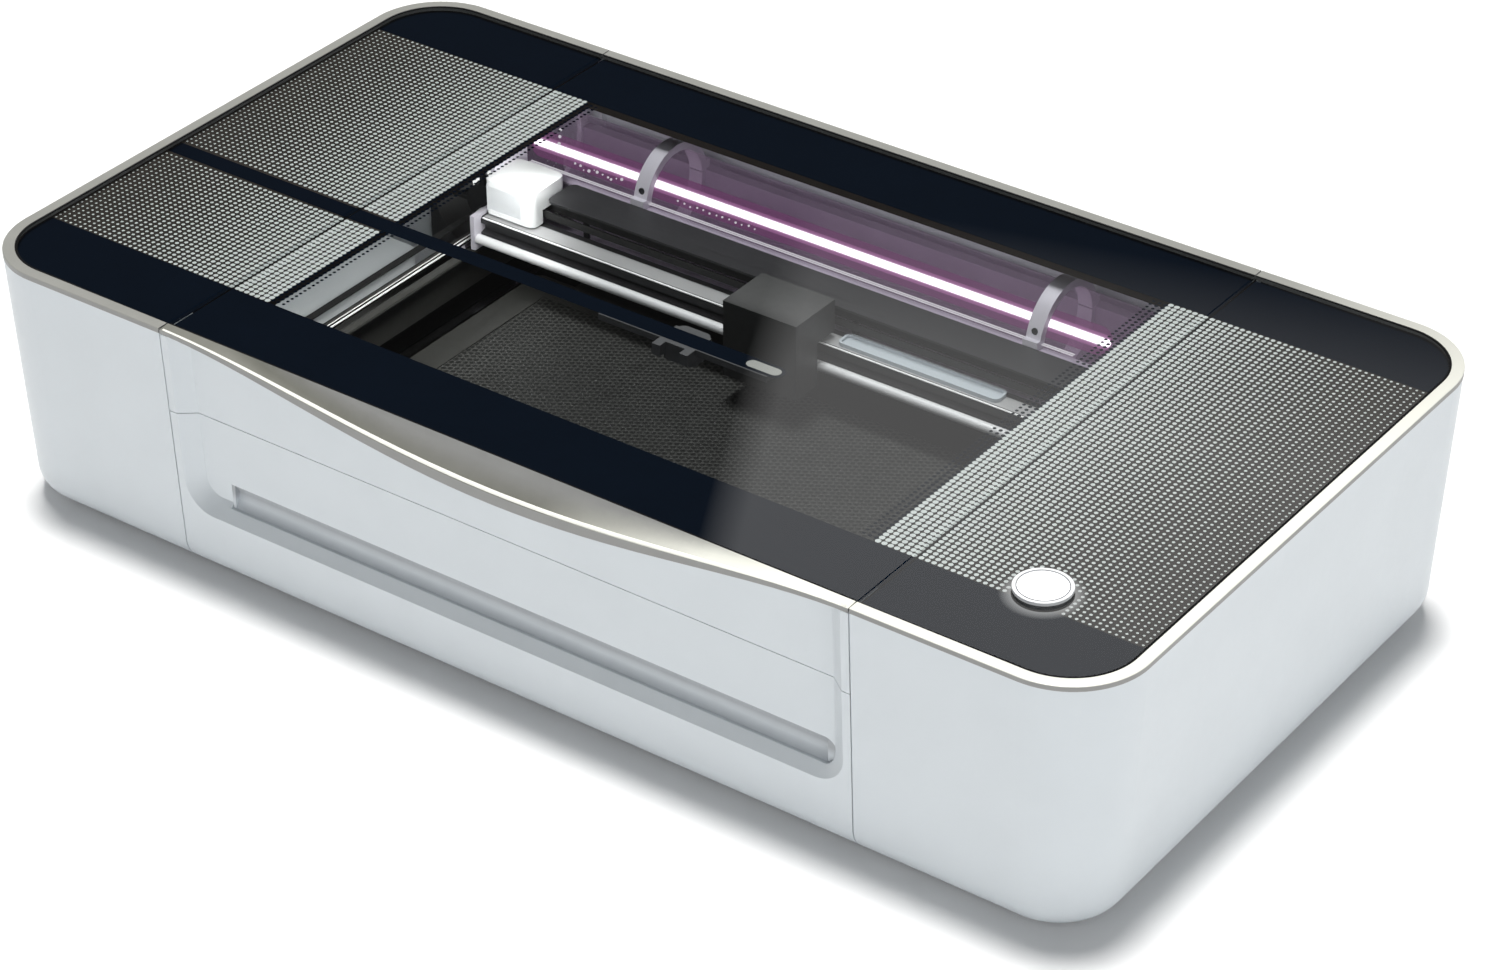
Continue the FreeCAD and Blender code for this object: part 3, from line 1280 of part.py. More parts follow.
def make_tube():
    """Laser tube: water jacket, discharge tube inside it, end caps and clamps."""
    centre = ("tube_y", "tube_z")
    whole = "2 * tube_half"
    for label, outer, wall in (("laser_jacket", "tube_radius", "tube_glass"),
                               ("discharge_tube", "core_radius", "core_glass")):
        solid = rod(f"{label}_outer", "X", ("-tube_half", *centre), whole, outer)
        bore = rod(f"{label}_bore", "X", ("-tube_half - margin", *centre), f"{whole} + 2 * margin",
                   f"{outer} - {wall}")
        node(cut(label, solid, bore), label)
    caps = [turned(f"cap_{label}", "X", (f"{side} * tube_half", *centre), [
                ("0", "0"), ("0", "tube_radius + cap_lap"), (f"{side} * cap_rim", "tube_radius + cap_lap"),
                (f"{side} * cap_step", "cap_radius"), (f"{side} * cap_long", "cap_radius - cap_taper"),
                (f"{side} * cap_long", "0")])
            for side, label in ((-1, "left"), (1, "right"))]
    node(group("tube_end_caps", *caps), "tube_end_caps")
    clamps = []
    screws = []
    for label, x in (("left", "clamp_left"), ("right", "clamp_right")):
        start = f"{x} - clamp_width / 2"
        span = (start, f"{x} + clamp_width / 2")
        seat = "trough_top + hair"
        front = "tube_y - clamp_radius"
        back = "tube_y + clamp_radius"
        ring = rod(f"clamp_ring_{label}", "X", (start, *centre), "clamp_width", "clamp_radius")
        above = block(f"clamp_above_{label}", span, ("0", HALF_D), (seat, "tube_z + clamp_radius"))
        arch = common(f"clamp_arch_{label}", ring, above)
        foot_spans = ((f"{front} - clamp_foot", f"{front} + clamp_foot_in"),
                      (f"{back} - clamp_foot_in", f"{back} + clamp_foot"))
        feet = [block(f"clamp_foot_{label}_{i}", span, y, (seat, "trough_top + clamp_foot_high"))
                for i, y in enumerate(foot_spans)]
        skin = "(trough_sheet + part_gap)"
        bed = block(f"clamp_bed_{label}", span, (f"trough_front + {skin}", f"trough_back - {skin}"),
                    (f"trough_low + {skin}", "trough_top - margin"))
        gap = rod(f"clamp_gap_{label}", "X", (f"{start} - margin", *centre), "clamp_width + 2 * margin",
                  "tube_radius + saddle_gap")
        hole = rod(f"clamp_hole_{label}", "Y", (x, f"{front} - margin", "trough_top + screw_up"),
                   "screw_well + margin", "screw_radius")
        clamps.append(cut(f"clamp_strap_{label}", fuse(f"clamp_body_{label}", arch, *feet), gap, hole))
        clamps.append(cut(f"clamp_saddle_{label}", bed, gap))
        screws.append(rod(f"clamp_screw_{label}", "Y", (x, f"{front} + screw_in", "trough_top + screw_up"),
                          "screw_long", "screw_radius"))
    node(group("tube_clamps", *clamps), "tube_clamps")
    node(group("clamp_screws", *screws), "clamp_screws")


def make_x_drive():
    """Housing at the left end of the beam, with the belt that draws the head."""
    outer = plate("mirror_outer", ("-block_left", "-block_right"), ("block_front", "block_back"),
                  ("block_low", "block_top"), "block_round")
    skin = "block_wall"
    hollow = plate("mirror_hollow", (f"-block_left + {skin}", f"-block_right - {skin}"),
                   (f"block_front + {skin}", f"block_back - {skin}"), ("block_low - margin",
                                                                       f"block_top - {skin}"),
                   f"block_round - {skin}")
    gap = block("mirror_belt_gap", ("-block_right - over", "-block_right + over"),
                ("belt_x_y - belt_room", "belt_x_y + belt_room"), ("block_low - margin", "belt_x_z + over"))
    port = block("mirror_port", ("-block_left + port_left", "-block_right - port_right"),
                 ("block_front - over", "block_front + over"), ("block_low + port_low",
                                                                "block_top - port_top"))
    node(cut("mirror_housing", outer, hollow, gap, port), "mirror_housing")
    can_low = "belt_x_z + can_up"
    motor = rod("x_motor_can", "Z", ("-belt_x_left", "belt_x_y", can_low),
                f"block_top - block_wall - sheet_gap - ({can_low})", "can_radius")
    shaft = rod("x_motor_shaft", "Z", ("-belt_x_left", "belt_x_y", "belt_x_z - shaft_down"),
                "shaft_down + can_up + margin", "axle_radius")
    post_low = "trough_low + trough_sheet"
    post = rod("x_idler_post", "Z", ("belt_x_right", "belt_x_y", post_low),
               f"belt_x_z + post_up - ({post_low})",
               "axle_radius")
    node(group("x_motor", fuse("x_motor_body", motor, shaft), post), "x_motor")
    loop = belt_loop("x_belt", "XY", "-belt_x_left", "belt_x_right", "belt_x_y", "belt_x_z - belt_width / 2",
                     "xpulley_pitch")
    node(loop, "x_belt")
    for label, x in (("x_drive_pulley", "-belt_x_left"), ("x_idler_pulley", "belt_x_right")):
        node(pulley(label, "Z", (x, "belt_x_y", "belt_x_z"), "xpulley_pitch", "xpulley_flange",
                    "axle_radius + pin_clearance"), label)


def make_head():
    """Head: a shell that hangs in front of the beam, its carriage and the lens barrel."""
    head_x = ("-head_left", "head_right")
    outline = [("head_front", "head_low"), ("head_step", "head_low"), ("head_step", "head_clear"),
               ("head_back", "head_clear"), ("head_back", "head_top"), ("head_front", "head_top")]
    shell = profile("head_outer", "X", outline, *head_x)
    skin = "head_wall"
    under = "head_low - margin"
    inner = [(f"head_front + {skin}", under), (f"head_step - {skin}", under),
             (f"head_step - {skin}", f"head_clear + {skin}"), (f"head_back - {skin}", f"head_clear + {skin}"),
             (f"head_back - {skin}", f"head_top - {skin}"), (f"head_front + {skin}", f"head_top - {skin}")]
    hollow = profile("head_hollow", "X", inner, f"-head_left + {skin}", f"head_right - {skin}")
    node(cut("head_shell", shell, hollow), "head_shell")
    make_carriage()
    barrel = turned("lens_barrel", "Z", ("head_centre_x", "head_centre_y", "nozzle_low"), [
        ("0", "nozzle_bore"), ("0", "nozzle_tip"), ("nozzle_cone", "lens_radius - barrel_step"),
        ("nozzle_collar", "lens_radius"), ("barrel_long", "lens_radius"), ("barrel_long", "barrel_bore"),
        ("nozzle_seat", "barrel_bore")])
    node(barrel, "lens_barrel")


def make_carriage():
    """Carriage inside the head: it slides on the rod, grips the belt and guides the lens barrel."""
    skin = "head_wall"
    core = block("carriage_core", (f"-head_left + {skin} + margin", f"head_right - {skin} - margin"),
                 (f"head_front + {skin} + core_play", f"head_step - {skin} - core_play"),
                 ("head_low + core_up", "head_clear - core_down"))
    guide = rod("carriage_guide", "Z", ("head_centre_x", "head_centre_y", "head_low - over"),
                "head_top - head_low", "lens_radius + pin_clearance")
    arm = block("carriage_arm", ("head_centre_x - arm_half", "head_centre_x + arm_half"),
                ("head_back + part_gap", "belt_x_y - xpulley_pitch - belt_thick - arm_play"),
                ("head_clear + margin", "belt_x_z + arm_up"))
    bearings = []
    for i, x in enumerate(("head_centre_x - bearing_in - bearing_long", "head_centre_x + bearing_in")):
        ring = rod(f"bearing_{i}", "X", (x, "rod_y", "rod_z"), "bearing_long", "bearing_wall + rod_radius")
        keep = block(f"bearing_keep_{i}", (x, f"{x} + bearing_long"),
                     ("head_step + part_gap", "beam_front - bearing_gap"),
                     ("rod_z - bearing_keep", "rod_z + bearing_keep"))
        hole = rod(f"bearing_hole_{i}", "X", (f"{x} - margin", "rod_y", "rod_z"), "bearing_long + 2 * margin",
                   "rod_radius + pin_clearance")
        bearings.append(cut(f"bearing_body_{i}", common(f"bearing_half_{i}", ring, keep), hole))
    window = block("carriage_window", ("head_centre_x - opening_half", "head_centre_x + opening_half"),
                   ("head_step - opening_deep", "head_step + opening_deep"),
                   ("rod_z - opening_high", "rod_z + opening_high"))
    node(group("carriage_block", cut("carriage_frame", core, guide, window), arm, *bearings),
         "carriage_block")


# -------------------------------------------------------------------------- electrics

def make_exhaust():
    """Exhaust duct with its round collar in the rear wall, and the fan rotor inside."""
    bore = "collar_radius - collar_wall"

    def round_part(name, start, length, radius):
        return rod(name, "Y", ("exhaust_x", start, "exhaust_z"), length, radius)

    frame_box = block("exhaust_frame_box", ("exhaust_x - fan_half", "exhaust_x + fan_half"),
                      ("fan_front", "fan_back"), ("fan_low", "fan_top"))
    frame = common("exhaust_frame", frame_box, doc.getObject("casing_core"))
    collar = round_part("exhaust_tube", "collar_start", "collar_end - collar_start", "collar_radius")
    hole = round_part("exhaust_bore", "fan_front - over", "collar_end - fan_front + 2 * over", bore)
    mouth = round_part("exhaust_mouth", "collar_end - mouth_depth", "mouth_depth + over", "mouth_radius")
    arm_y = ("arm_front", "arm_front + arm_thick")
    across = block("exhaust_arm_across", ("exhaust_x - arm_reach", "exhaust_x + arm_reach"), arm_y,
                   ("exhaust_z - arm_wide / 2", "exhaust_z + arm_wide / 2"))
    upright = block("exhaust_arm_upright", ("exhaust_x - arm_wide / 2", "exhaust_x + arm_wide / 2"), arm_y,
                    ("exhaust_z - arm_reach", "exhaust_z + arm_reach"))
    hub = round_part("exhaust_hub", "arm_front", "hub_long", "hub_radius")
    shaft = round_part("exhaust_axle", "fan_axle_start", "fan_axle_long", "fan_axle")
    duct = cut("exhaust_shell", fuse("exhaust_solid", frame, collar), hole, mouth)
    node(fuse("exhaust_duct", duct, across, upright, hub, shaft), "exhaust_duct")
    boss = round_part("rotor_boss", "boss_start", "boss_long", "boss_radius")
    trim = round_part("rotor_trim", "rotor_start", "rotor_long", "rotor_radius")
    rotor = common("rotor_trimmed", fuse("rotor_solid", boss, *rotor_blades()), trim)
    rotor_bore = round_part("rotor_bore", "rotor_start - margin", "rotor_long + 2 * margin",
                            "fan_axle + pin_clearance")
    node(cut("exhaust_rotor", rotor, rotor_bore), "exhaust_rotor")


def rotor_blades():
    """Flat blades round the rotor's boss, each tilted about its own length."""
    blades = []
    for i in range(ROTOR_BLADES):
        blade = doc.addObject("Part::Box", f"rotor_blade_{i}")
        for prop, text in (("Length", "blade_long"), ("Width", "blade_thick"), ("Height", "blade_wide")):
            bind(blade, prop, text)
        turn = Rotation(Vector(0, 1, 0), i * 360 / ROTOR_BLADES)
        tilt = Rotation(Vector(1, 0, 0), size("blade_tilt"))
        offset = turn.multVec(Vector(size("blade_in"), -size("blade_thick") / 2, -size("blade_wide") / 2))
        middle = Vector(size("exhaust_x"), size("blade_at"), size("exhaust_z"))
        blade.Placement = Placement(middle + offset, turn * tilt)
        blades.append(blade)
    return blades


def make_electrics():
    """Everything electric: mains inlet and switch, power supply, control board and coolant unit."""
    make_inlet()
    make_supply()
    make_board()
    make_coolant()


def make_inlet():
    """Mains inlet in the rear wall with its rocker switch."""
    body = block("inlet_body", ("inlet_x - inlet_half", "inlet_x + inlet_half"), ("inlet_front",
                                                                                  "inlet_back"),
                 ("inlet_z - inlet_high", "inlet_z + inlet_high"))
    socket = block("inlet_socket", ("inlet_x + socket_from", "inlet_x + socket_to"),
                   ("socket_floor", "inlet_back + over"), ("inlet_z - socket_high", "inlet_z + socket_high"))
    well = block("switch_well", ("inlet_x + well_from", "inlet_x + well_to"), ("well_floor",
                                                                               "inlet_back + over"),
                 ("inlet_z - well_high", "inlet_z + well_high"))
    socket_middle = "inlet_x + (socket_from + socket_to) / 2"
    contacts = []
    for i, (aside, up) in enumerate((("-contact_apart", "-contact_down"), ("0", "earth_up"),
                                     ("contact_apart", "-contact_down"))):
        x = f"{socket_middle} + ({aside})"
        z = f"inlet_z + ({up})"
        contacts.append(block(f"inlet_contact_{i}", (f"{x} - contact_half", f"{x} + contact_half"),
                              ("socket_floor - margin", "contact_out"), (f"{z} - contact_high",
                                                                         f"{z} + contact_high")))
    axle_at = ("inlet_x + well_from - margin / 2", "switch_y", "inlet_z")
    axle_long = "well_to - well_from + margin"
    axle = rod("switch_axle_rod", "X", axle_at, axle_long, "switch_axle")
    node(fuse("power_inlet", cut("inlet_shell", body, socket, well), *contacts, axle), "power_inlet")
    rocker = profile("rocker_body", "X", [
        ("rocker_low", "-rocker_heel"), ("rocker_wing", "-rocker_half"), ("rocker_tip", "-rocker_half"),
        ("rocker_dip", "0"), ("rocker_tip", "rocker_half"), ("rocker_wing", "rocker_half"),
        ("rocker_low", "rocker_heel")],
        "inlet_x + well_from + rocker_side", "inlet_x + well_to - rocker_side")
    lifted = group("rocker_raised", rocker)
    place(lifted, z="inlet_z")
    bore = rod("rocker_bore", "X", axle_at, axle_long, "switch_axle + pin_clearance")
    node(cut("power_rocker", lifted, bore), "power_rocker")


def make_supply():
    """Power supply: a steel case with air slits, its transformer and a foot."""
    low_x, high_x = "supply_x - supply_half", "supply_x + supply_half"
    case = block("supply_case", (low_x, high_x), ("supply_front", "supply_back"), ("supply_low",
                                                                                   "supply_top"))
    foot = block("supply_foot_block", (f"{low_x} + supply_foot", f"{high_x} - supply_foot"),
                 ("supply_front + supply_foot", "supply_back - supply_foot"), ("pan_top", "supply_low"))
    room = block("supply_room", (f"{low_x} + supply_skin", f"{high_x} - supply_wall"),
                 ("supply_front + supply_wall", "supply_back - supply_wall"),
                 ("supply_low + supply_wall", "supply_top - supply_wall"))
    coil = block("supply_coil", ("coil_from", "coil_to"), ("coil_front", "coil_back"),
                 ("supply_low + margin", "coil_top"))
    supply = fuse("supply_body", cut("supply_shell", case, room), foot, coil)
    slits = [block(f"supply_slit_{i}", (f"{low_x} - slit_deep", f"{low_x} + slit_deep"),
                   (f"slit_start + {i} * slit_pitch", f"slit_start + {i} * slit_pitch + slit_wide"),
                   ("slit_low", "slit_top"))
             for i in range(SUPPLY_SLITS)]
    node(cut("power_supply", supply, *slits), "power_supply")


def make_board():
    """Control board on four posts, with its processor, driver block and terminals."""
    top = "board_low + board_thick"
    board = block("board_sheet", ("board_left", "board_right"), ("board_front", "board_back"), ("board_low",
                                                                                                top))
    chip_x, chip_y = "board_left + chip_side / 2", "board_front + chip_side / 2"
    chip = block("board_chip", (chip_x, f"{chip_x} + chip_side"), (chip_y, f"{chip_y} + chip_side"),
                 (top, f"{top} + chip_high"))
    middle_y = "(board_front + board_back) / 2"
    driver = block("board_driver", (chip_x, f"{chip_x} + driver_long"), (middle_y,
                                                                         f"{middle_y} + driver_wide"),
                   (top, f"{top} + driver_high"))
    row_x = "(board_left + board_right - terminal_long) / 2"
    row_y = "board_back - 2 * terminal_wide"
    terminals = block("board_terminals", (row_x, f"{row_x} + terminal_long"), (row_y,
                                                                               f"{row_y} + terminal_wide"),
                      (top, f"{top} + terminal_high"))
    posts = [rod(f"board_post_{i}", "Z", (x, y, "pan_top"), "board_low - pan_top", "board_post")
             for i, (x, y) in enumerate((x, y) for x in ("board_left + board_post_in",
                                                         "board_right - board_post_right")
                                        for y in ("board_front + board_post_in",
                                                  "board_back - board_post_in"))]
    node(fuse("mainboard", board, chip, driver, terminals, *posts), "mainboard")


def make_coolant():
    """Coolant tank with its filler, and the pump in front of it."""
    tank = plate("coolant_tank", ("tank_x - tank_half", "tank_x + tank_half"), ("tank_front", "tank_back"),
                 ("tank_low", "tank_top"), "tank_corner")
    foot = block("coolant_foot", ("tank_x - tank_half + tank_foot", "tank_x + tank_half - tank_foot"),
                 ("tank_front + tank_foot", "tank_back - tank_foot"), ("pan_top", "tank_low"))
    filler = rod("coolant_filler", "Z", ("tank_x", "filler_y", "tank_top"), "filler_high", "filler_radius")
    pump = rod("coolant_pump", "Y", ("tank_x", "pump_front", "pump_z"), "pump_long", "pump_radius")
    outlet = rod("coolant_outlet", "Z", ("tank_x", "outlet_y", "pump_z"), "outlet_top - pump_z",
                 "outlet_radius")
    pump_foot = block("coolant_pump_foot", ("tank_x - pump_foot_half", "tank_x + pump_foot_half"),
                      ("pump_foot_front", "pump_foot_back"), ("pan_top", "pump_z - pump_foot_half / 2"))
    node(fuse("coolant_unit", tank, foot, filler, pump, outlet, pump_foot), "coolant_unit")


# ------------------------------------------------------------------------------ export

def check_and_export():
    """Every object must be sound before anything is written."""
    doc.recompute()
    faults = [f"{obj.Name}: {obj.State}" for obj in doc.Objects if {"Invalid", "Error"} & set(obj.State)]
    for obj in nodes:
        if obj.Shape.isNull() or not obj.Shape.isValid() or not obj.Shape.Solids:
            faults.append(f"{obj.Label}: shape is null, empty or not valid")
    if faults:
        raise RuntimeError("\n".join(faults))
    os.makedirs("parts", exist_ok=True)
    for obj in nodes:
        obj.Shape.exportStep(f"parts/{obj.Label}.step")
        box = obj.Shape.BoundBox
        print(f"{obj.Label:22s} solids {len(obj.Shape.Solids):2d}  x {box.XMin:7.1f} {box.XMax:7.1f}"
              f"  y {box.YMin:7.1f} {box.YMax:7.1f}  z {box.ZMin:6.1f} {box.ZMax:6.1f}")
    print(len(nodes), "nodes")


fill_sheet()
casing_form, door_inner = make_casing()
rim, panes = make_top()
make_button()
make_lid(rim, panes, casing_form, door_inner)
make_door(casing_form, door_inner)
make_hinge_pins()
make_tub()
make_y_drive()
make_gantry()
make_tube()
make_x_drive()
make_head()
make_exhaust()
make_electrics()
check_and_export()
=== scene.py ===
import json
import math

import bpy
import bmesh
from mathutils import Matrix, Vector
from mathutils.bvhtree import BVHTree
from mathutils.geometry import convex_hull_2d


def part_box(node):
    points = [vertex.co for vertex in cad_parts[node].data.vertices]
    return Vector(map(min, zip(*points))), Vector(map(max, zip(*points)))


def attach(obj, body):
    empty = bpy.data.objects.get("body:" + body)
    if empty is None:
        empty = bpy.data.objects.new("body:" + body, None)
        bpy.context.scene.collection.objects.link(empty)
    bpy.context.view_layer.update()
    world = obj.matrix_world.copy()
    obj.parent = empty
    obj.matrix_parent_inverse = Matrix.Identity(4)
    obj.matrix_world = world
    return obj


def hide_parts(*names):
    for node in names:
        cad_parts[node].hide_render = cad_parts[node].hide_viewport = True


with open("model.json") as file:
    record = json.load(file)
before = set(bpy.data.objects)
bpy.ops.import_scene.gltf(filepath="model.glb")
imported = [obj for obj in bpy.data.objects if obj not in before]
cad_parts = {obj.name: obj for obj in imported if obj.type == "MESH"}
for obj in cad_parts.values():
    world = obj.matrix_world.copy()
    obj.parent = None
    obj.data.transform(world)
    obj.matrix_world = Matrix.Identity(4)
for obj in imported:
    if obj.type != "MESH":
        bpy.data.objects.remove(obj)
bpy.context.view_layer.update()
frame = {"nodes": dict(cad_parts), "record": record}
nodes = frame["nodes"]

# ---------------------------------------------------------------- camera and light

CAMERA_AT = (1.5303, -2.0794, 1.7400)
CAMERA_AZIMUTH, CAMERA_ELEVATION, CAMERA_ROLL = 35.825, 33.185, -0.087
CAMERA_LENS = 101.0
CAMERA_NEAR, CAMERA_FAR = 0.05, 60.0


def make_camera():
    azimuth, elevation = math.radians(CAMERA_AZIMUTH), math.radians(CAMERA_ELEVATION)
    back = Vector((math.sin(azimuth) * math.cos(elevation), -math.cos(azimuth) * math.cos(elevation),
                   math.sin(elevation)))
    turn = (-back).to_track_quat("-Z", "Y").to_matrix().to_4x4()
    data = bpy.data.cameras.new("camera")
    data.lens = CAMERA_LENS
    data.clip_start, data.clip_end = CAMERA_NEAR, CAMERA_FAR
    camera = bpy.data.objects.new("camera", data)
    bpy.context.scene.collection.objects.link(camera)
    roll = Matrix.Rotation(math.radians(CAMERA_ROLL), 4, "Z")
    camera.matrix_world = Matrix.Translation(CAMERA_AT) @ turn @ roll
    bpy.context.scene.camera = camera


def area_light(name, at, aim, width, height, power, colour):
    data = bpy.data.lights.new(name, "AREA")
    data.shape = "RECTANGLE"
    data.size, data.size_y = width, height
    data.energy = power
    data.color = colour
    light = bpy.data.objects.new(name, data)
    bpy.context.scene.collection.objects.link(light)
    light.location = at
    light.rotation_mode = "QUATERNION"
    light.rotation_quaternion = (Vector(aim) - Vector(at)).to_track_quat("-Z", "Y")
    return light


NOISE_LOW, NOISE_HIGH = 0.3, 0.7


class Graph:
    """Short calls for building one material's nodes."""

    def __init__(self, name):
        self.material = bpy.data.materials.new(name)
        self.material.use_nodes = True
        self.tree = self.material.node_tree
        self.tree.nodes.clear()
        self.out = self.tree.nodes.new("ShaderNodeOutputMaterial")

    def node(self, kind, **inputs):
        made = self.tree.nodes.new("ShaderNode" + kind)
        for name, value in inputs.items():
            self.feed(made.inputs[name.replace("_", " ")], value)
        return made

    def feed(self, socket, value):
        if isinstance(value, bpy.types.NodeSocket):
            self.tree.links.new(value, socket)
        elif isinstance(value, bpy.types.Node):
            self.tree.links.new(value.outputs[0], socket)
        else:
            socket.default_value = value

    def place(self, scale=(1, 1, 1)):
        coordinates = self.node("TexCoord")
        mapping = self.node("Mapping")
        self.feed(mapping.inputs["Vector"], coordinates.outputs["Object"])
        mapping.inputs["Scale"].default_value = scale
        return mapping.outputs["Vector"]

    def axes(self):
        """The place on the object, as X, Y and Z."""
        split = self.node("SeparateXYZ", Vector=self.node("TexCoord").outputs["Object"])
        return split.outputs["X"], split.outputs["Y"], split.outputs["Z"]

    def noise(self, size, detail=4.0, stretch=(1, 1, 1)):
        made = self.node("TexNoise", Scale=1.0 / size, Detail=detail)
        self.feed(made.inputs["Vector"], self.place(stretch))
        return made.outputs["Fac"]

    def patchy(self, size, detail, start, end, stretch=(1, 1, 1)):
        """Noise brought between two values."""
        return self.ramp(self.noise(size, detail, stretch), NOISE_LOW, NOISE_HIGH, start, end)

    def ramp(self, value, low, high, start, end):
        made = self.node("MapRange")
        self.feed(made.inputs["Value"], value)
        for name, number in (("From Min", low), ("From Max", high), ("To Min", start), ("To Max", end)):
            self.feed(made.inputs[name], number)
        return made.outputs["Result"]

    def math(self, operation, a, b=0.0, clamp=False):
        made = self.node("Math")
        made.operation = operation
        made.use_clamp = clamp
        self.feed(made.inputs[0], a)
        self.feed(made.inputs[1], b)
        return made.outputs[0]

    def blend(self, factor, a, b):
        made = self.node("Mix")
        made.data_type = "RGBA"
        self.feed(made.inputs["Factor"], factor)
        self.feed(made.inputs[6], a)
        self.feed(made.inputs[7], b)
        return made.outputs[2]

    def bump(self, height, strength, distance):
        made = self.node("Bump", Strength=strength, Distance=distance)
        self.feed(made.inputs["Height"], height)
        return made.outputs["Normal"]

    def mixed(self, share, first, second):
        made = self.node("MixShader")
        for socket, value in zip(made.inputs, (share, first, second)):
            self.feed(socket, value)
        return made

    def light(self, colour, strength, size, vary):
        """Emission whose colour drifts a little."""
        made = self.node("Emission", Strength=strength)
        self.feed(made.inputs["Color"],
                  self.blend(self.noise(size, 2.0), rgba(colour, 1 - vary), rgba(colour, 1 + vary)))
        return made

    def solid(self, colour, gloss, metallic=0.0, specular=0.5, normal=None):
        """An opaque surface."""
        made = self.node("BsdfPrincipled")
        self.feed(made.inputs["Base Color"], colour)
        self.feed(made.inputs["Roughness"], gloss)
        if normal is not None:
            self.feed(made.inputs["Normal"], normal)
        made.inputs["Metallic"].default_value = metallic
        made.inputs["Specular IOR Level"].default_value = specular
        return made

    def finish(self, shader):
        self.feed(self.out.inputs["Surface"], shader)
        return self.material


def rgba(colour, by=1.0):
    return (colour[0] * by, colour[1] * by, colour[2] * by, 1.0)


def linear(*shown):
    """A colour given as it shows on a screen, from 0 to 255, as light."""
    return tuple(((c / 255 + 0.055) / 1.055) ** 2.4 if c > 10 else c / 255 / 12.92 for c in shown)


GRAIN_BUMP = 0.35
DRIFT_SIZE, GLOSS_SIZE = 0.05, 0.006
GLOSS_LOW, GLOSS_HIGH = 0.88, 1.12
COAT_ROUGH = 0.12


def moulded(name, colour, rough, vary=0.03, grain=0.0004, depth=0.00002, metallic=0.0, specular=0.5,
            stretch=(1, 1, 1)):
    """A solid surface whose colour drifts over centimetres and its gloss over millimetres."""
    g = Graph(name)
    tint = g.blend(g.patchy(DRIFT_SIZE, 3.0, 0.0, 1.0), rgba(colour, 1 - vary), rgba(colour, 1 + vary))
    gloss = g.patchy(GLOSS_SIZE, 4.0, rough * GLOSS_LOW, min(1.0, rough * GLOSS_HIGH), stretch)
    grained = g.bump(g.noise(grain, 3.0, stretch), GRAIN_BUMP, depth)
    shader = g.solid(tint, gloss, metallic, specular, grained)
    shader.inputs["Coat Roughness"].default_value = COAT_ROUGH
    return g.finish(shader)


def clear_pane(name, tint, mirror=1.5):
    """Thin clear glass: what is behind shows straight through, and its face mirrors more at a low angle."""
    g = Graph(name)
    facing = g.node("Fresnel", IOR=1.5)
    outside = g.math("SUBTRACT", 1.0, g.node("NewGeometry").outputs["Backfacing"])
    share = g.math("MULTIPLY", g.math("MULTIPLY", facing, outside), mirror, clamp=True)
    shine = g.node("BsdfGlossy", Color=(1, 1, 1, 1), Roughness=g.patchy(0.03, 2.0, 0.0, 0.012))
    return g.finish(g.mixed(share, g.node("BsdfTransparent", Color=rgba(tint)), shine))


def glowing(name, colour, strength):
    g = Graph(name)
    return g.finish(g.light(colour, strength, 0.01, 0.08))


make_camera()

SKY_DIFFUSE, SKY_COLOUR = 0.20, (0.93, 0.965, 1.0, 1.0)
ROOM_LEVEL, FLOOR_LEVEL = 0.02, 0.55
ROOM_LEVELS = ((0.12, 0.35), (0.34, ROOM_LEVEL), (0.66, ROOM_LEVEL), (0.9, 0.9))


def make_world():
    """White for the camera, dim and even for matt surfaces, and for mirrors dark with a bright ceiling."""
    world = bpy.data.worlds.new("studio")
    bpy.context.scene.world = world
    world.use_nodes = True
    tree = world.node_tree
    tree.nodes.clear()
    out = tree.nodes.new("ShaderNodeOutputWorld")
    path = tree.nodes.new("ShaderNodeLightPath")

    def background(colour, strength):
        made = tree.nodes.new("ShaderNodeBackground")
        made.inputs["Color"].default_value = colour
        made.inputs["Strength"].default_value = strength
        return made

    def either(factor, first, second):
        made = tree.nodes.new("ShaderNodeMixShader")
        tree.links.new(factor, made.inputs[0])
        tree.links.new(first.outputs[0], made.inputs[1])
        tree.links.new(second.outputs[0], made.inputs[2])
        return made

    direction = tree.nodes.new("ShaderNodeTexCoord")
    split = tree.nodes.new("ShaderNodeSeparateXYZ")
    tree.links.new(direction.outputs["Generated"], split.inputs[0])
    height = tree.nodes.new("ShaderNodeValToRGB")
    tree.links.new(split.outputs["Z"], height.inputs["Fac"])
    first, last = height.color_ramp.elements
    first.position, last.position = 0.0, 1.0
    first.color, last.color = rgba((FLOOR_LEVEL,) * 3), rgba((1, 1, 1))
    for at, level in ROOM_LEVELS:
        height.color_ramp.elements.new(at).color = rgba((level,) * 3)
    mirror = background((1, 1, 1, 1), 1.0)
    tree.links.new(height.outputs["Color"], mirror.inputs["Color"])
    matt = background(SKY_COLOUR, SKY_DIFFUSE)
    seen = background((1, 1, 1, 1), 1.0)
    lit = either(path.outputs["Is Glossy Ray"], matt, mirror)
    tree.links.new(either(path.outputs["Is Camera Ray"], lit, seen).outputs[0], out.inputs["Surface"])
    bpy.context.scene.view_settings.view_transform = "Standard"


def sun_light(name, towards, strength, angle, colour):
    data = bpy.data.lights.new(name, "SUN")
    data.energy, data.angle, data.color = strength, angle, colour
    light = bpy.data.objects.new(name, data)
    bpy.context.scene.collection.objects.link(light)
    light.rotation_mode = "QUATERNION"
    light.rotation_quaternion = Vector(towards).to_track_quat("-Z", "Y")


CARD_LEAN, CARD_SLOPE = -0.26, -0.155
CARD_BESIDE, CARD_BELOW = 0.4, 0.2


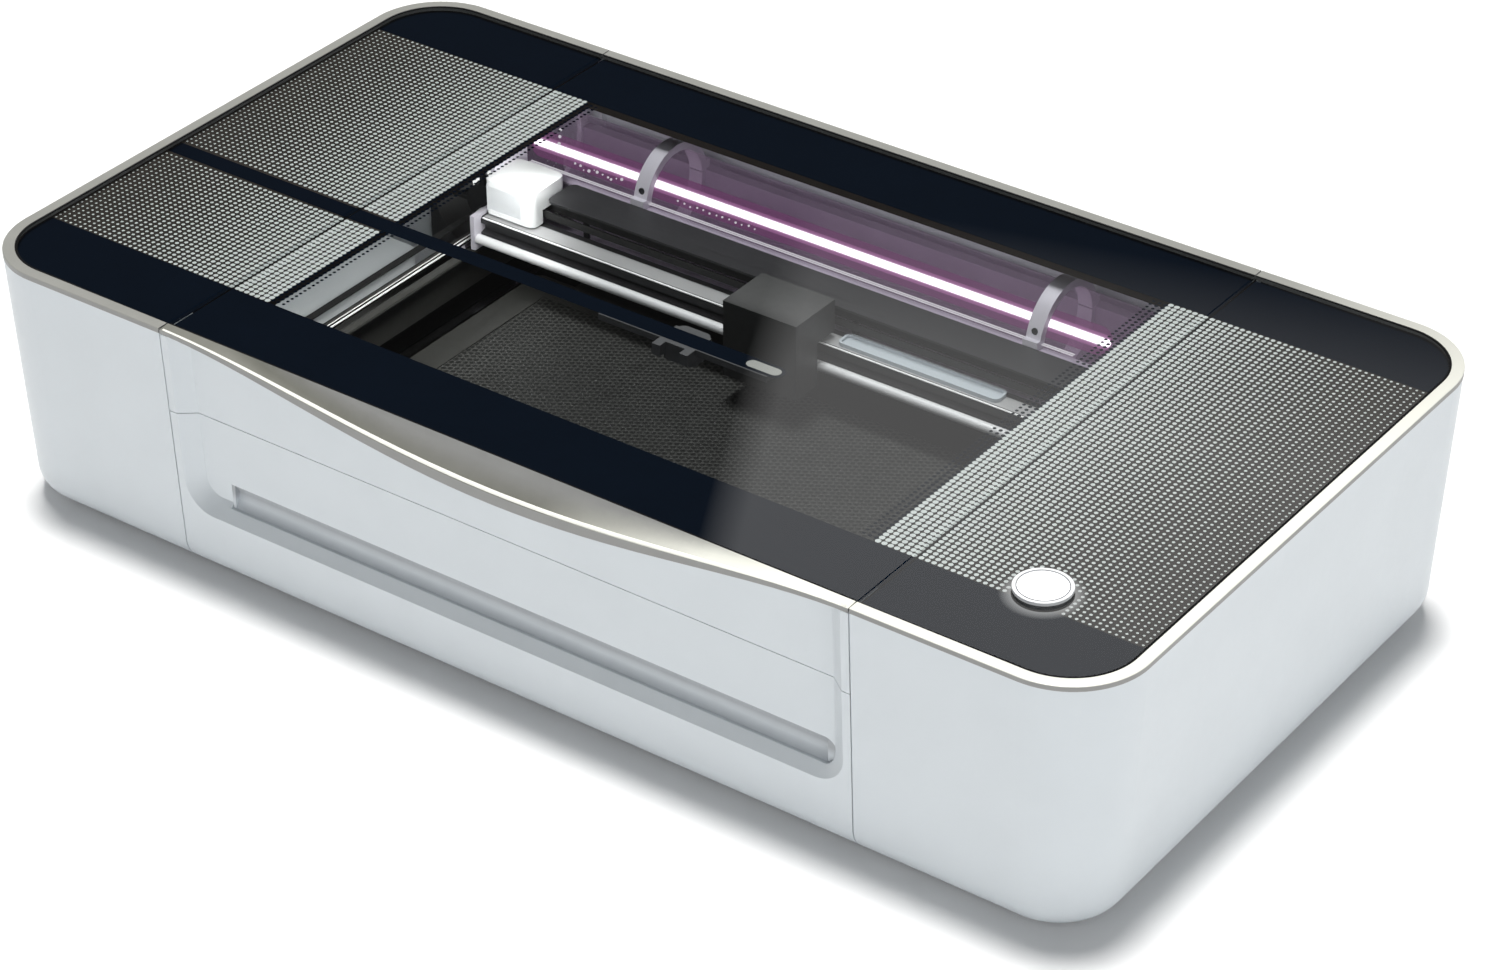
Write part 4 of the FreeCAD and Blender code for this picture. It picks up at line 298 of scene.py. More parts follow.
def soft_card(name, corners, strength, fade_side, fade_low):
    """A glowing card that only mirrors see, in a plane of one Y. Its left and lower edges are soft."""
    g = Graph(name)
    across, _, up = g.axes()
    (left, low), (right, high), y = corners
    lean = g.math("MULTIPLY", g.math("SUBTRACT", up, low), CARD_LEAN)
    side = g.ramp(g.math("SUBTRACT", across, lean), left, left + fade_side, 0.0, 1.0)
    slope = g.math("MULTIPLY", g.math("SUBTRACT", across, left), CARD_SLOPE)
    foot = g.ramp(g.math("SUBTRACT", up, slope), low, low + fade_low, 0.0, 1.0)
    light = g.node("Emission", Color=(1, 1, 1, 1))
    level = g.math("MULTIPLY", g.math("MULTIPLY", side, foot), strength)
    g.feed(light.inputs["Strength"], g.math("MAXIMUM", level, ROOM_LEVEL))
    left, low = left - CARD_BESIDE, low - CARD_BELOW
    mesh = bpy.data.meshes.new(name)
    mesh.from_pydata([(left, y, low), (right, y, low), (right, y, high), (left, y, high)], [], [[0, 1, 2, 3]])
    mesh.materials.append(g.finish(light))
    card = bpy.data.objects.new(name, mesh)
    bpy.context.scene.collection.objects.link(card)
    card.visible_camera = card.visible_diffuse = card.visible_shadow = card.visible_transmission = False


def veil(name, colour, strength, cover):
    """Glowing gas: part of what is behind it shows through."""
    g = Graph(name)
    return g.finish(g.mixed(cover, g.node("BsdfTransparent"), g.light(colour, strength, 0.012, 0.07)))


def pane_with_painted_glow(name, colour, cover):
    """Clear glass that carries a faint even painted glow on its near side."""
    g = Graph(name)
    outside = g.math("SUBTRACT", 1.0, g.node("NewGeometry").outputs["Backfacing"])
    glow = g.light(colour, 1.0, 0.02, 0.1)
    inner = g.mixed(g.math("MULTIPLY", outside, cover), g.node("BsdfTransparent"), glow)
    shine = g.node("BsdfGlossy", Color=(1, 1, 1, 1), Roughness=g.patchy(0.03, 2.0, 0.02, 0.05))
    share = g.math("MULTIPLY", g.node("Fresnel", IOR=1.4), outside, clamp=True)
    return g.finish(g.mixed(share, inner, shine))


RING_FADE = 0.0004


def ring_finish(name, glass_top):
    """A pale ring: its part under the glass is dark."""
    g = Graph(name)
    shown = g.ramp(g.axes()[2], glass_top, glass_top + RING_FADE, 0.0, 1.0)
    pale = g.blend(g.noise(0.01, 2.0), rgba(linear(226, 228, 230)), rgba(linear(238, 239, 240)))
    colour = g.blend(shown, rgba(linear(34, 36, 40)), pale)
    return g.finish(g.solid(colour, g.patchy(GLOSS_SIZE, 3.0, 0.3, 0.36), specular=0.3))


# Painted light on the rims: the grey on the sides is painted shade, and the cream is a painted highlight.
RIM_PAINTED_SHADE, RIM_PAINTED_HIGHLIGHT, RIM_DRIFT = linear(150, 150, 148), linear(238, 238, 228), linear(215, 215, 210)
RIM_TURN = 0.6
RIM_FLAT, RIM_UP = 0.2, 0.7


def rim_painted_light(name, dull, start, end):
    """Satin metal with painted light: dull on the left and back, a painted cream highlight towards the front
    right, and painted grey shade on its sides.
    """
    g = Graph(name)
    x, y, _ = g.axes()
    # painted highlight: cream blended in towards the front right
    along = g.math("SUBTRACT", x, g.math("MULTIPLY", y, RIM_TURN))
    highlighted = g.blend(g.ramp(along, start, end, 0.0, 1.0), rgba(dull), rgba(RIM_PAINTED_HIGHLIGHT))
    # painted shade: faces that do not point up turn grey
    facing = g.node("SeparateXYZ", Vector=g.node("NewGeometry").outputs["Normal"])
    upward = g.ramp(facing.outputs["Z"], RIM_FLAT, RIM_UP, 0.0, 1.0)
    colour = g.blend(g.patchy(0.03, 3.0, 0.0, 0.06), g.blend(upward, rgba(RIM_PAINTED_SHADE), highlighted), rgba(RIM_DRIFT))
    return g.finish(g.solid(colour, g.patchy(GLOSS_SIZE, 3.0, 0.34, 0.42), metallic=0.1, specular=0.25))


COMB_CELL = 0.0052
COMB_TURN = math.radians(2)
COMB_RATE = 2 * math.pi / (COMB_CELL * math.sqrt(3) / 2)
COMB_WALL, COMB_FLOOR = -0.9, 0.1


def comb_finish(name):
    """Thin walls round dark hexagonal cells, as three crossed waves of one length."""
    g = Graph(name)
    x, y, _ = g.axes()
    waves = []
    for k in range(3):
        turn = COMB_TURN + math.radians(60 * k)
        across = g.math("MULTIPLY", x, COMB_RATE * math.cos(turn))
        up = g.math("MULTIPLY", y, COMB_RATE * math.sin(turn))
        waves.append(g.math("COSINE", g.math("ADD", across, up)))
    total = g.math("ADD", g.math("ADD", waves[0], waves[1]), waves[2])
    wall = g.math("MULTIPLY", g.ramp(total, COMB_WALL, COMB_FLOOR, 1.0, 0.0), g.patchy(0.04, 3.0, 0.75, 1.0))
    colour = g.blend(wall, rgba(linear(30, 30, 29)), rgba(linear(64, 64, 62)))
    return g.finish(g.solid(colour, g.patchy(0.01, 3.0, 0.42, 0.52), 0.3, 0.5, g.bump(wall, 0.5, 0.0004)))


make_world()

# ---------------------------------------------------------------- materials

WHITE = linear(216, 222, 226)
pane_low, pane_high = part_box("glass_right")
GLASS_TOP = pane_high.z
LONG_X, LONG_Y = (0.02, 1, 1), (1, 0.02, 1)
finish = {
    "case_white": moulded("case_white", WHITE, 0.38, 0.012, 0.0006, 0.00001),
    # painted light: the grey base pan is given a near-white colour to lift it out of the shade under the
    # body's edge
    "pan_grey": moulded("pan_grey", linear(246, 248, 250), 0.45, 0.015, 0.0006),
    "foot_rubber": moulded("foot_rubber", linear(38, 38, 40), 0.8, 0.06),
    # painted light: the rim carries a painted cream highlight and painted grey side shade
    "rim_metal": rim_painted_light("rim_metal", linear(147, 147, 142), 0.15, 0.42),
    "clear_glass": clear_pane("clear_glass", (0.90, 0.91, 0.91)),
    "deck_dark": moulded("deck_dark", linear(56, 51, 47), 0.7, 0.05, specular=0.08),
    "tub_black": moulded("tub_black", linear(62, 62, 60), 0.5, 0.06),
    "rail_steel": moulded("rail_steel", linear(230, 230, 230), 0.12, 0.02, metallic=1.0, stretch=LONG_Y),
    "guide_aluminium": moulded("guide_aluminium", linear(120, 122, 124), 0.18, 0.05,
                               metallic=1.0, stretch=LONG_Y),
    "tray_dark": moulded("tray_dark", linear(52, 52, 50), 0.42, 0.06),
    "comb_dark": comb_finish("comb_dark"),
    "beam_dark": moulded("beam_dark", linear(66, 66, 68), 0.4, 0.05, metallic=0.6, stretch=LONG_X),
    # painted light: the grey painted steel trough is given a lighter colour with a purple tint, for the
    # tube's light falling on it
    "trough_grey": moulded("trough_grey", linear(158, 148, 164), 0.4, 0.06, metallic=0.1, stretch=LONG_X),
    # painted highlight: the steel rod is given a near-white colour for the sheen along its length
    "bright_rod": moulded("bright_rod", linear(240, 240, 242), 0.25, 0.01, metallic=0.3, stretch=LONG_X),
    "tube_glass": clear_pane("tube_glass", (0.985, 0.95, 0.985), 1.2),
    "cap_aluminium": moulded("cap_aluminium", linear(190, 190, 194), 0.3, 0.03, metallic=0.9),
    "clamp_silver": moulded("clamp_silver", linear(208, 204, 214), 0.32, 0.03, metallic=0.25),
    "steel_fastener": moulded("steel_fastener", linear(70, 70, 72), 0.35, 0.05, metallic=0.9),
    "housing_white": moulded("housing_white", linear(240, 241, 242), 0.35, 0.015),
    "head_dark": moulded("head_dark", linear(58, 58, 58), 0.5, 0.05),
    "belt_black": moulded("belt_black", linear(36, 36, 36), 0.7, 0.08),
    "pulley_aluminium": moulded("pulley_aluminium", linear(200, 200, 202), 0.25, 0.03, metallic=1.0),
    "wheel_plastic": moulded("wheel_plastic", linear(205, 206, 208), 0.3, 0.03),
    "button_metal": ring_finish("button_metal", GLASS_TOP),
    "button_light": glowing("button_light", (1.0, 1.0, 1.0), 2.2),
    "motor_black": moulded("motor_black", linear(50, 50, 52), 0.45, 0.06),
    "board_green": moulded("board_green", linear(30, 90, 55), 0.5, 0.1),
    "supply_steel": moulded("supply_steel", linear(170, 172, 174), 0.35, 0.05, metallic=0.8),
    "tank_plastic": moulded("tank_plastic", linear(190, 194, 196), 0.4, 0.04),
    "black_plastic": moulded("black_plastic", linear(42, 42, 43), 0.5, 0.06),
    "lens_brass": moulded("lens_brass", linear(190, 160, 90), 0.25, 0.05, metallic=1.0),
    "light_strip": moulded("light_strip", linear(225, 228, 232), 0.4, 0.02),
    "camera_grey": moulded("camera_grey", linear(96, 96, 98), 0.45, 0.05),
    "tray_clear": moulded("tray_clear", linear(175, 182, 188), 0.3, 0.04),
}
for part in frame["record"]["subparts"]:
    nodes[part["node"]].data.materials.clear()
    nodes[part["node"]].data.materials.append(finish[part["material_slot"]])


def piece(name, mesh, body, material, smooth=False):
    """A finished mesh as a piece that rides on a body."""
    made = bpy.data.objects.new(name, mesh)
    bpy.context.scene.collection.objects.link(made)
    mesh.materials.append(material)
    if smooth:
        mesh.shade_smooth()
    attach(made, body)
    return made


def from_lists(name, points, faces):
    mesh = bpy.data.meshes.new(name)
    mesh.from_pydata(points, [], faces)
    mesh.update()
    return mesh


# ---------------------------------------------------------------- print under the glass

lid_low, lid_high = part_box("lid_glass")
frame_low, frame_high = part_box("lid_frame")
camera_low, camera_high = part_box("lid_camera")
SEAM_X = lid_high.x
SHEET = 0.00008
SHEET_Z = lid_low.z - 0.00012
BAND_FRONT, BAND_BACK = frame_low.y + 0.0629, frame_high.y - 0.0660
STRIPE_LOW, STRIPE_HIGH = camera_low.y + 0.0110, camera_low.y + 0.0260
STRIPE_END = camera_high.x + 0.0090
PRINT_GAP = 0.0002
NOTCH_GAP, NOTCH_STEPS = 0.0004, 16
ROUND_STEPS = 24


def outline(node):
    """The outline of a pane from above, which is convex."""
    flat = [Vector((v.co.x, v.co.y)) for v in nodes[node].data.vertices]
    return [flat[i] for i in convex_hull_2d(flat)]


def inset(points, by):
    centre = sum(points, Vector((0, 0))) / len(points)
    made = []
    for k, point in enumerate(points):
        before, after = points[k - 1], points[(k + 1) % len(points)]
        along = (after - before).normalized()
        normal = Vector((along.y, -along.x))
        if (point - centre).dot(normal) > 0:
            normal = -normal
        made.append(point + normal * by)
    return made


def clipped(points, axis, limit, keep_above):
    made = []
    sign = 1 if keep_above else -1
    for k, point in enumerate(points):
        before = points[k - 1]
        a, b = (before[axis] - limit) * sign, (point[axis] - limit) * sign
        if a * b < 0:
            made.append(before.lerp(point, a / (a - b)))
        if b >= 0:
            made.append(point)
    return made


def slab(points, low, high):
    """A flat sheet of the given outline, closed, with its own thickness."""
    count = len(points)
    corners = [(p.x, p.y, z) for z in (low, high) for p in points]
    faces = [list(range(count))[::-1], list(range(count, 2 * count))]
    faces += [[k, (k + 1) % count, count + (k + 1) % count, count + k] for k in range(count)]
    return corners, faces


def joined(shapes):
    points, faces = [], []
    for more_points, more_faces in shapes:
        start = len(points)
        points += more_points
        faces += [[start + i for i in face] for face in more_faces]
    return points, faces


def notched(points, at, radius):
    """The outline with a round notch where its straight upper side passes the button."""
    reach = math.sqrt(radius * radius - (BAND_FRONT - at.y) ** 2)
    first, last = math.atan2(BAND_FRONT - at.y, -reach), math.atan2(BAND_FRONT - at.y, reach)
    arc = [at.xy + radius * Vector((math.cos(turn), math.sin(turn)))
           for turn in (first + (last - first) * k / NOTCH_STEPS for k in range(NOTCH_STEPS + 1))]
    made = []
    for k, point in enumerate(points):
        before = points[k - 1]
        if abs(before.y - BAND_FRONT) < 1e-6 and abs(point.y - BAND_FRONT) < 1e-6:
            made += arc if before.x < point.x else arc[::-1]
        made.append(point)
    return made


def bands(node):
    around = inset(outline(node), PRINT_GAP)
    front = clipped(around, 1, BAND_FRONT, False)
    if node == "glass_right":
        front = notched(front, button_at, button_radius + NOTCH_GAP)
    back = clipped(around, 1, BAND_BACK, True)
    return [slab(front, SHEET_Z, SHEET_Z + SHEET), slab(back, SHEET_Z, SHEET_Z + SHEET)]


def stripe(start, end, round_end):
    middle, half = (STRIPE_LOW + STRIPE_HIGH) / 2, (STRIPE_HIGH - STRIPE_LOW) / 2
    points = [Vector((start, STRIPE_LOW))]
    if round_end:
        for k in range(ROUND_STEPS + 1):
            turn = -math.pi / 2 + math.pi * k / ROUND_STEPS
            points.append(Vector((end - half + half * math.cos(turn), middle + half * math.sin(turn))))
    else:
        points += [Vector((end, STRIPE_LOW)), Vector((end, STRIPE_HIGH))]
    points.append(Vector((start, STRIPE_HIGH)))
    return slab(points, SHEET_Z, SHEET_Z + SHEET)


def circle(x, y, radius, sides):
    return [(x + radius * math.cos(2 * math.pi * k / sides), y + radius * math.sin(2 * math.pi * k / sides))
            for k in range(sides)]


DOT_SIDES = 10


def dots(columns, rows, radius_at, allowed):
    points, faces = [], []
    for x in columns:
        for y in rows:
            radius = radius_at(x, y)
            if not allowed(x, y, radius):
                continue
            start = len(points)
            points += [(px, py, SHEET_Z + SHEET / 2) for px, py in circle(x, y, radius, DOT_SIDES)]
            faces.append(list(range(start, len(points))))
    return points, faces


button_low, button_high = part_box("button_ring")
button_at = (button_low + button_high) / 2
button_radius = (button_high.x - button_low.x) / 2
ink = moulded("ink_black", linear(11, 20, 32), 0.55, 0.05, 0.004, 0.0000002, specular=0.0)
chalk = moulded("ink_white", linear(222, 226, 224), 0.6, 0.02, specular=0.0)

for side, node, body in ((-1, "glass_left", "case"), (1, "glass_right", "case"), (0, "lid_glass", "lid")):
    shapes = bands(node)
    low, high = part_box(node)
    if side == -1:
        shapes.append(stripe(low.x + PRINT_GAP, high.x, False))
    if side == 0:
        shapes.append(stripe(low.x, STRIPE_END, True))
    points, faces = joined(shapes)
    piece("print_black_" + node, from_lists("print_black_" + node, points, faces), body, ink)

PITCH_X, PITCH_Y = 0.00494, 0.00461
DOT_RADIUS, DOT_SHRINK, DOT_FULL_X = 0.0022, 0.0062, SEAM_X - 0.0329
STRIPE_CLEAR, BUTTON_CLEAR, EDGE_CLEAR = 0.8, 0.0008, 0.0015
LID_FIRST_X, LID_LAST_X, LID_DOTS = SEAM_X - 0.0310, SEAM_X - 0.0025, 6
PANE_FIRST_X, PANE_DOTS = pane_low.x + 0.0020, 36
EDGE_DOTS_X = (SEAM_X - 0.0440, SEAM_X - 0.0391, SEAM_X - 0.0341)
EDGE_RADIUS, EDGE_GROWTH = 0.00135, 0.04
row_count = int(round((BAND_BACK - BAND_FRONT) / PITCH_Y))
row_pitch = (BAND_BACK - BAND_FRONT) / row_count
rows = [BAND_FRONT + row_pitch * (k + 0.5) for k in range(row_count)]


def dot_radius(x, y):
    return DOT_RADIUS - DOT_SHRINK * (abs(x) - DOT_FULL_X)


def edge_dot_radius(x, y):
    return EDGE_RADIUS + (abs(x) - EDGE_DOTS_X[0]) * EDGE_GROWTH


def clear_of_print(x, y, radius):
    reach = radius * STRIPE_CLEAR
    if STRIPE_LOW - reach < y < STRIPE_HIGH + reach and x < 0:
        return False
    return math.hypot(x - button_at.x, y - button_at.y) > button_radius + BUTTON_CLEAR + radius


def dot_piece(name, columns, lines, radius_at, body, material):
    points, faces = dots(columns, lines, radius_at, clear_of_print)
    piece(name, from_lists(name, points, faces), body, material)


lid_columns = [LID_FIRST_X + PITCH_X * k for k in range(LID_DOTS)] + [LID_LAST_X]
side_columns = [PANE_FIRST_X + PITCH_X * k for k in range(PANE_DOTS)]
for side, node in ((-1, "glass_left"), (1, "glass_right")):
    edge = max(abs(p.x) for p in outline(node)) - EDGE_CLEAR
    dot_piece("dots_" + node, [side * x for x in side_columns if x < edge], rows, dot_radius, "case", chalk)
dot_piece("dots_lid", [s * x for s in (-1, 1) for x in lid_columns], rows, dot_radius, "lid", chalk)
between = [(a + b) / 2 for a, b in zip(rows, rows[1:])]
edge_columns = [s * x for s in (-1, 1) for x in EDGE_DOTS_X]
dot_piece("dots_window_edge", edge_columns, between, edge_dot_radius, "lid", ink)

# ---------------------------------------------------------------- the lit laser tube


def from_bmesh(name, work):
    mesh = bpy.data.meshes.new(name)
    work.to_mesh(mesh)
    work.free()
    return mesh


def bar(name, low, high, body, material, edge=0.0003):
    """A straight bar along the axes, with its edges rounded."""
    work = bmesh.new()
    bmesh.ops.create_cube(work, size=1.0)
    low, high = Vector(low), Vector(high)
    for corner in work.verts:
        corner.co = Vector(low[i] + (high[i] - low[i]) * (corner.co[i] + 0.5) for i in range(3))
    bmesh.ops.bevel(work, geom=work.edges[:], offset=edge, segments=2, profile=0.5, affect="EDGES")
    return piece(name, from_bmesh(name, work), body, material)


def turned(name, stations, y, z, body, material, sides=32):
    """A closed shape turned about a line along X, from (x, radius) stations."""
    points, faces = [], []
    for x, radius in stations:
        points += [(x, py, pz) for py, pz in circle(y, z, radius, sides)]
    for i in range(len(stations) - 1):
        faces += [[i * sides + k, i * sides + (k + 1) % sides, (i + 1) * sides + (k + 1) % sides,
                   (i + 1) * sides + k][::-1] for k in range(sides)]
    faces.append(list(range(sides)))
    faces.append(list(range((len(stations) - 1) * sides, len(stations) * sides))[::-1])
    return piece(name, from_lists(name, points, faces), body, material, smooth=True)


tube_low, tube_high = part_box("laser_jacket")
gas_low, gas_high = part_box("discharge_tube")
GAS_RADIUS = (gas_high.z - gas_low.z) / 2 - 0.0002
JACKET_RADIUS = (tube_high.z - tube_low.z) / 2 - 0.0001
TUBE_Y, TUBE_Z = (tube_low.y + tube_high.y) / 2, (tube_low.z + tube_high.z) / 2
GAS_Z = (gas_low.z + gas_high.z) / 2
GLOW_LEFT, GLOW_RIGHT = tube_low.x + 0.026, tube_high.x - 0.1405
END_STEPS, TIP_SHARE = 6, 0.05
JACKET_CORNER, JACKET_SIDES = 0.004, 64


def rounded_ends(left, right, radius, corner=None):
    """Stations of a rod whose ends are rounded by the corner, or fully when none is given."""
    corner = radius if corner is None else corner
    lead = []
    for k in range(END_STEPS):
        turn = math.pi / 2 * k / END_STEPS
        thick = radius - corner + corner * max(math.sin(turn), TIP_SHARE)
        lead.append((left + corner * (1 - math.cos(turn)), thick))
    tail = [(right - (x - left), thick) for x, thick in reversed(lead)]
    return lead + [(left + corner, radius), (right - corner, radius)] + tail


# name, radius, colour, strength and cover, from the core out
GLOW = (("glow_core", 0.0029, (1.0, 0.90, 1.0), 8.0, 1.0),
        ("glow_fringe", 0.0038, (1.0, 0.72, 0.96), 0.95, 0.5),
        ("glow_halo", 0.0056, (0.90, 0.40, 0.80), 0.8, 0.28),
        ("glow_gas", GAS_RADIUS, linear(150, 85, 140), 0.75, 0.30))
for name, radius, colour, strength, cover in GLOW:
    turned(name, rounded_ends(GLOW_LEFT, GLOW_RIGHT, radius), TUBE_Y, TUBE_Z, "gantry",
           veil(name, colour, strength, cover))
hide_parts("discharge_tube")
jacket_ends = rounded_ends(tube_low.x, tube_high.x, JACKET_RADIUS, JACKET_CORNER)
# painted glow: the jacket glass glows faintly purple on its near side
jacket = turned("jacket_glass", jacket_ends, TUBE_Y, TUBE_Z, "gantry",
                pane_with_painted_glow("jacket_glass", linear(128, 108, 132), 0.36), sides=JACKET_SIDES)
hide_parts("laser_jacket")

# painted highlights: glowing lines along the jacket; how far in front of its middle line each one starts
shine = glowing("glass_painted_highlight", (0.95, 0.90, 0.97), 0.8)
SHINE_LEFT, SHINE_RIGHT = tube_low.x + 0.050, tube_high.x - 0.150
SHINE_LOW, SHINE_HIGH, SHINE_WIDE = GAS_Z + 0.0045, GAS_Z + 0.0052, 0.0010
for name, ahead in (("jacket_painted_highlight_low", 0.0368), ("jacket_painted_highlight_high", 0.0346)):
    bar(name, (SHINE_LEFT, TUBE_Y - ahead, SHINE_LOW), (SHINE_RIGHT, TUBE_Y - ahead + SHINE_WIDE, SHINE_HIGH),
        "gantry", shine, 0.0002)

BEAD_AHEAD, BEAD_BELOW = 0.012, 0.001


def bead_row(start, pitch, count, sway, lift, radius, vary, rates):
    """Bubbles in a wavering row along the jacket, as places and radii."""
    at_sway, at_lift, at_size = rates
    return [(tube_low.x + start + pitch * k, TUBE_Y - BEAD_AHEAD + sway * math.sin(at_sway * k),
             GAS_Z - BEAD_BELOW + lift * math.cos(at_lift * k), radius + vary * math.sin(at_size * k))
            for k in range(count)]


beads = bead_row(0.176, 0.0061, 13, 0.0005, 0.0006, 0.0008, 0.0003, (2.4, 1.7, 3.1))
beads += bead_row(0.076, 0.0045, 11, 0.0012, 0.0014, 0.0009, 0.0004, (2.1, 1.3, 2.7))
beads += [(tube_low.x + 0.060 - 0.0010 * k, TUBE_Y - 0.009, GAS_Z + 0.024 - 0.0065 * k, 0.0013)
          for k in range(3)]
bead_points, bead_faces = [], []
for x, y, z, radius in beads:
    work = bmesh.new()
    bmesh.ops.create_icosphere(work, subdivisions=2, radius=radius)
    start = len(bead_points)
    bead_points += [(v.co.x + x, v.co.y + y, v.co.z + z) for v in work.verts]
    bead_faces += [[start + v.index for v in face.verts] for face in work.faces]
    work.free()
# painted glints: the bubbles are drawn glowing, with the jacket's painted highlight material
piece("coolant_bubble_glints", from_lists("coolant_bubble_glints", bead_points, bead_faces), "gantry",
      shine, smooth=True)

# ---------------------------------------------------------------- gantry, rails and guides

# painted highlights: near-white strips along the beam's front top edge and along the rails, where they catch
# the light
painted_highlight = moulded("painted_highlight_edge", linear(240, 240, 240), 0.3, 0.01, specular=0.6)
strip_grey = moulded("strip_grey", linear(165, 165, 166), 0.35, 0.05, metallic=0.2)
beam_low, beam_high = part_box("x_beam")
BEAM_LEFT, BEAM_RIGHT = beam_low.x + 0.002, beam_high.x - 0.002
bar("beam_highlight_edge", (BEAM_LEFT, beam_low.y - 0.0006, beam_high.z - 0.0008),
    (BEAM_RIGHT, beam_low.y + 0.0008, beam_high.z + 0.0003), "gantry", painted_highlight)
bar("beam_top_strip", (BEAM_LEFT, beam_low.y + 0.0015, beam_high.z),
    (BEAM_RIGHT, beam_high.y - 0.0060, beam_high.z + 0.0004), "gantry", strip_grey, 0.0002)
housing_low, housing_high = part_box("mirror_housing")
bar("mirror_plate", (housing_low.x + 0.0022, housing_low.y + 0.0004, housing_low.z + 0.0024),
    (housing_high.x - 0.0100, housing_low.y + 0.0018, housing_high.z - 0.0040), "gantry",
    moulded("mirror_plate", linear(214, 216, 219), 0.3, 0.02))
rail_low, rail_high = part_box("y_rails")
RAIL_MIDDLE = rail_high.x - 0.0058
# painted highlights: how far from the middle of a rail its bright line runs, and the line's width
RAIL_HIGHLIGHTS = ((0.0, 0.0016), (0.0034, 0.0007))
for side, word in ((-1, "left"), (1, "right")):
    for k, (off, wide) in enumerate(RAIL_HIGHLIGHTS):
        middle = side * (RAIL_MIDDLE + off)
        bar(f"rail_highlight_{k}_{word}", (middle - wide / 2, rail_low.y + 0.004, rail_high.z),
            (middle + wide / 2, rail_high.y - 0.004, rail_high.z + 0.0003),
            "case", painted_highlight, 0.0001)

# ---------------------------------------------------------------- door scoop and lip

SCOOP_FADE = 0.003


def scoop_painted_shade(name, middle):
    """White that turns grey above a height: painted shade, as the shade under the scoop's upper edge."""
    g = Graph(name)
    painted_shade_mask = g.ramp(g.axes()[2], middle - SCOOP_FADE, middle + SCOOP_FADE, 0.0, 1.0)
    share = g.math("ADD", painted_shade_mask, g.patchy(0.05, 3.0, -0.03, 0.03), clamp=True)
    # the grey is painted shade; the white is the door's own colour, with a random drift
    colour = g.blend(share, rgba(linear(205, 211, 216)), rgba(linear(166, 170, 174)))
    return g.finish(g.solid(colour, g.patchy(GLOSS_SIZE, 4.0, 0.35, 0.42)))


def repaint(node, material):
    nodes[node].data.materials.clear()
    nodes[node].data.materials.append(material)


shutter_low, shutter_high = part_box("slot_shutter")
repaint("slot_shutter", scoop_painted_shade("scoop_shade", (shutter_low.z + shutter_high.z) / 2))

RIDGE_WIDE, RIDGE_RISE, RIDGE_STEP, RIDGE_INSET = 0.0021, 0.00025, 0.006, 0.0004
RIDGE_END = 0.002
RIDGE_SAMPLES, RIDGE_ENOUGH = 8, 3
SEARCH_STEP, SEARCH_HALVINGS = 0.0003, 10
# painted light on the lip: a painted cream highlight towards the front right and painted grey shade on its
# sides
repaint("lid_front_rim", rim_painted_light("lip_metal_painted_light", linear(118, 118, 110), 0.20, 0.34))
rim_mesh = nodes["lid_front_rim"].data
rim_low, rim_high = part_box("lid_front_rim")
rim_tree = BVHTree.FromPolygons([v.co.copy() for v in rim_mesh.vertices],
                                [list(f.vertices) for f in rim_mesh.polygons])


def lip_profile(x):
    """Points on the lip's top, from its front edge inwards."""
    def hit_at(y):
        return rim_tree.ray_cast(Vector((x, y, rim_high.z + 0.01)), Vector((0, 0, -1)))[0]

    outside, y = rim_low.y - 0.001, rim_low.y
    while hit_at(y) is None:
        outside, y = y, y + SEARCH_STEP
    for _ in range(SEARCH_HALVINGS):
        half = (outside + y) / 2
        outside, y = (half, y) if hit_at(half) is None else (outside, half)
    inward = [hit_at(y + RIDGE_INSET + k * RIDGE_WIDE / RIDGE_SAMPLES) for k in range(RIDGE_SAMPLES + 1)]
    return [hit for hit in inward if hit is not None]


ridge_points, ridge_faces = [], []
ridge_long = rim_high.x - rim_low.x - 2 * RIDGE_END
stations = int(ridge_long / RIDGE_STEP)
for k in range(stations + 1):
    found = lip_profile(rim_low.x + RIDGE_END + k * ridge_long / stations)
    if len(found) < RIDGE_ENOUGH:
        continue
    front, back = found[0], found[-1]
    middle = (front + back) / 2
    start = len(ridge_points)
    ridge_points += [(front.x, front.y, front.z - 0.0008), (front.x, front.y, front.z + 0.0001),
                     (middle.x, middle.y, middle.z + RIDGE_RISE), (back.x, back.y, back.z + 0.00003),
                     (back.x, back.y, back.z - 0.0006)]
    if start:
        ridge_faces += [[start - 5 + i, start + i, start + (i + 1) % 5, start - 5 + (i + 1) % 5]
                        for i in range(5)]
ridge_faces += [[4, 3, 2, 1, 0], [len(ridge_points) - 5 + i for i in range(5)]]
# painted highlight: a near-white ridge along the lip's front edge, where it catches the light
piece("lip_highlight_ridge", from_lists("lip_highlight_ridge", ridge_points, ridge_faces), "lid",
      moulded("lip_highlight_ridge", linear(246, 246, 238), 0.3, 0.01, specular=0.4), smooth=True)

# ---------------------------------------------------------------- button, gasket and badge

RING_SIDES = 64


def ring_faces(i, j, sides):
    """Faces between circle i and circle j of a list of circles."""
    return [[i * sides + k, j * sides + k, j * sides + (k + 1) % sides, i * sides + (k + 1) % sides]
            for k in range(sides)]


def flat_ring(name, middle, inner, outer, low, high, body, material):
    """A thin ring that lies flat."""
    points = [(px, py, z) for radius, z in ((inner, low), (outer, low), (outer, high), (inner, high))
              for px, py in circle(middle.x, middle.y, radius, RING_SIDES)]
    faces = [face for i, j in ((0, 3), (3, 2), (2, 1), (1, 0)) for face in ring_faces(i, j, RING_SIDES)]
    return piece(name, from_lists(name, points, faces), body, material)


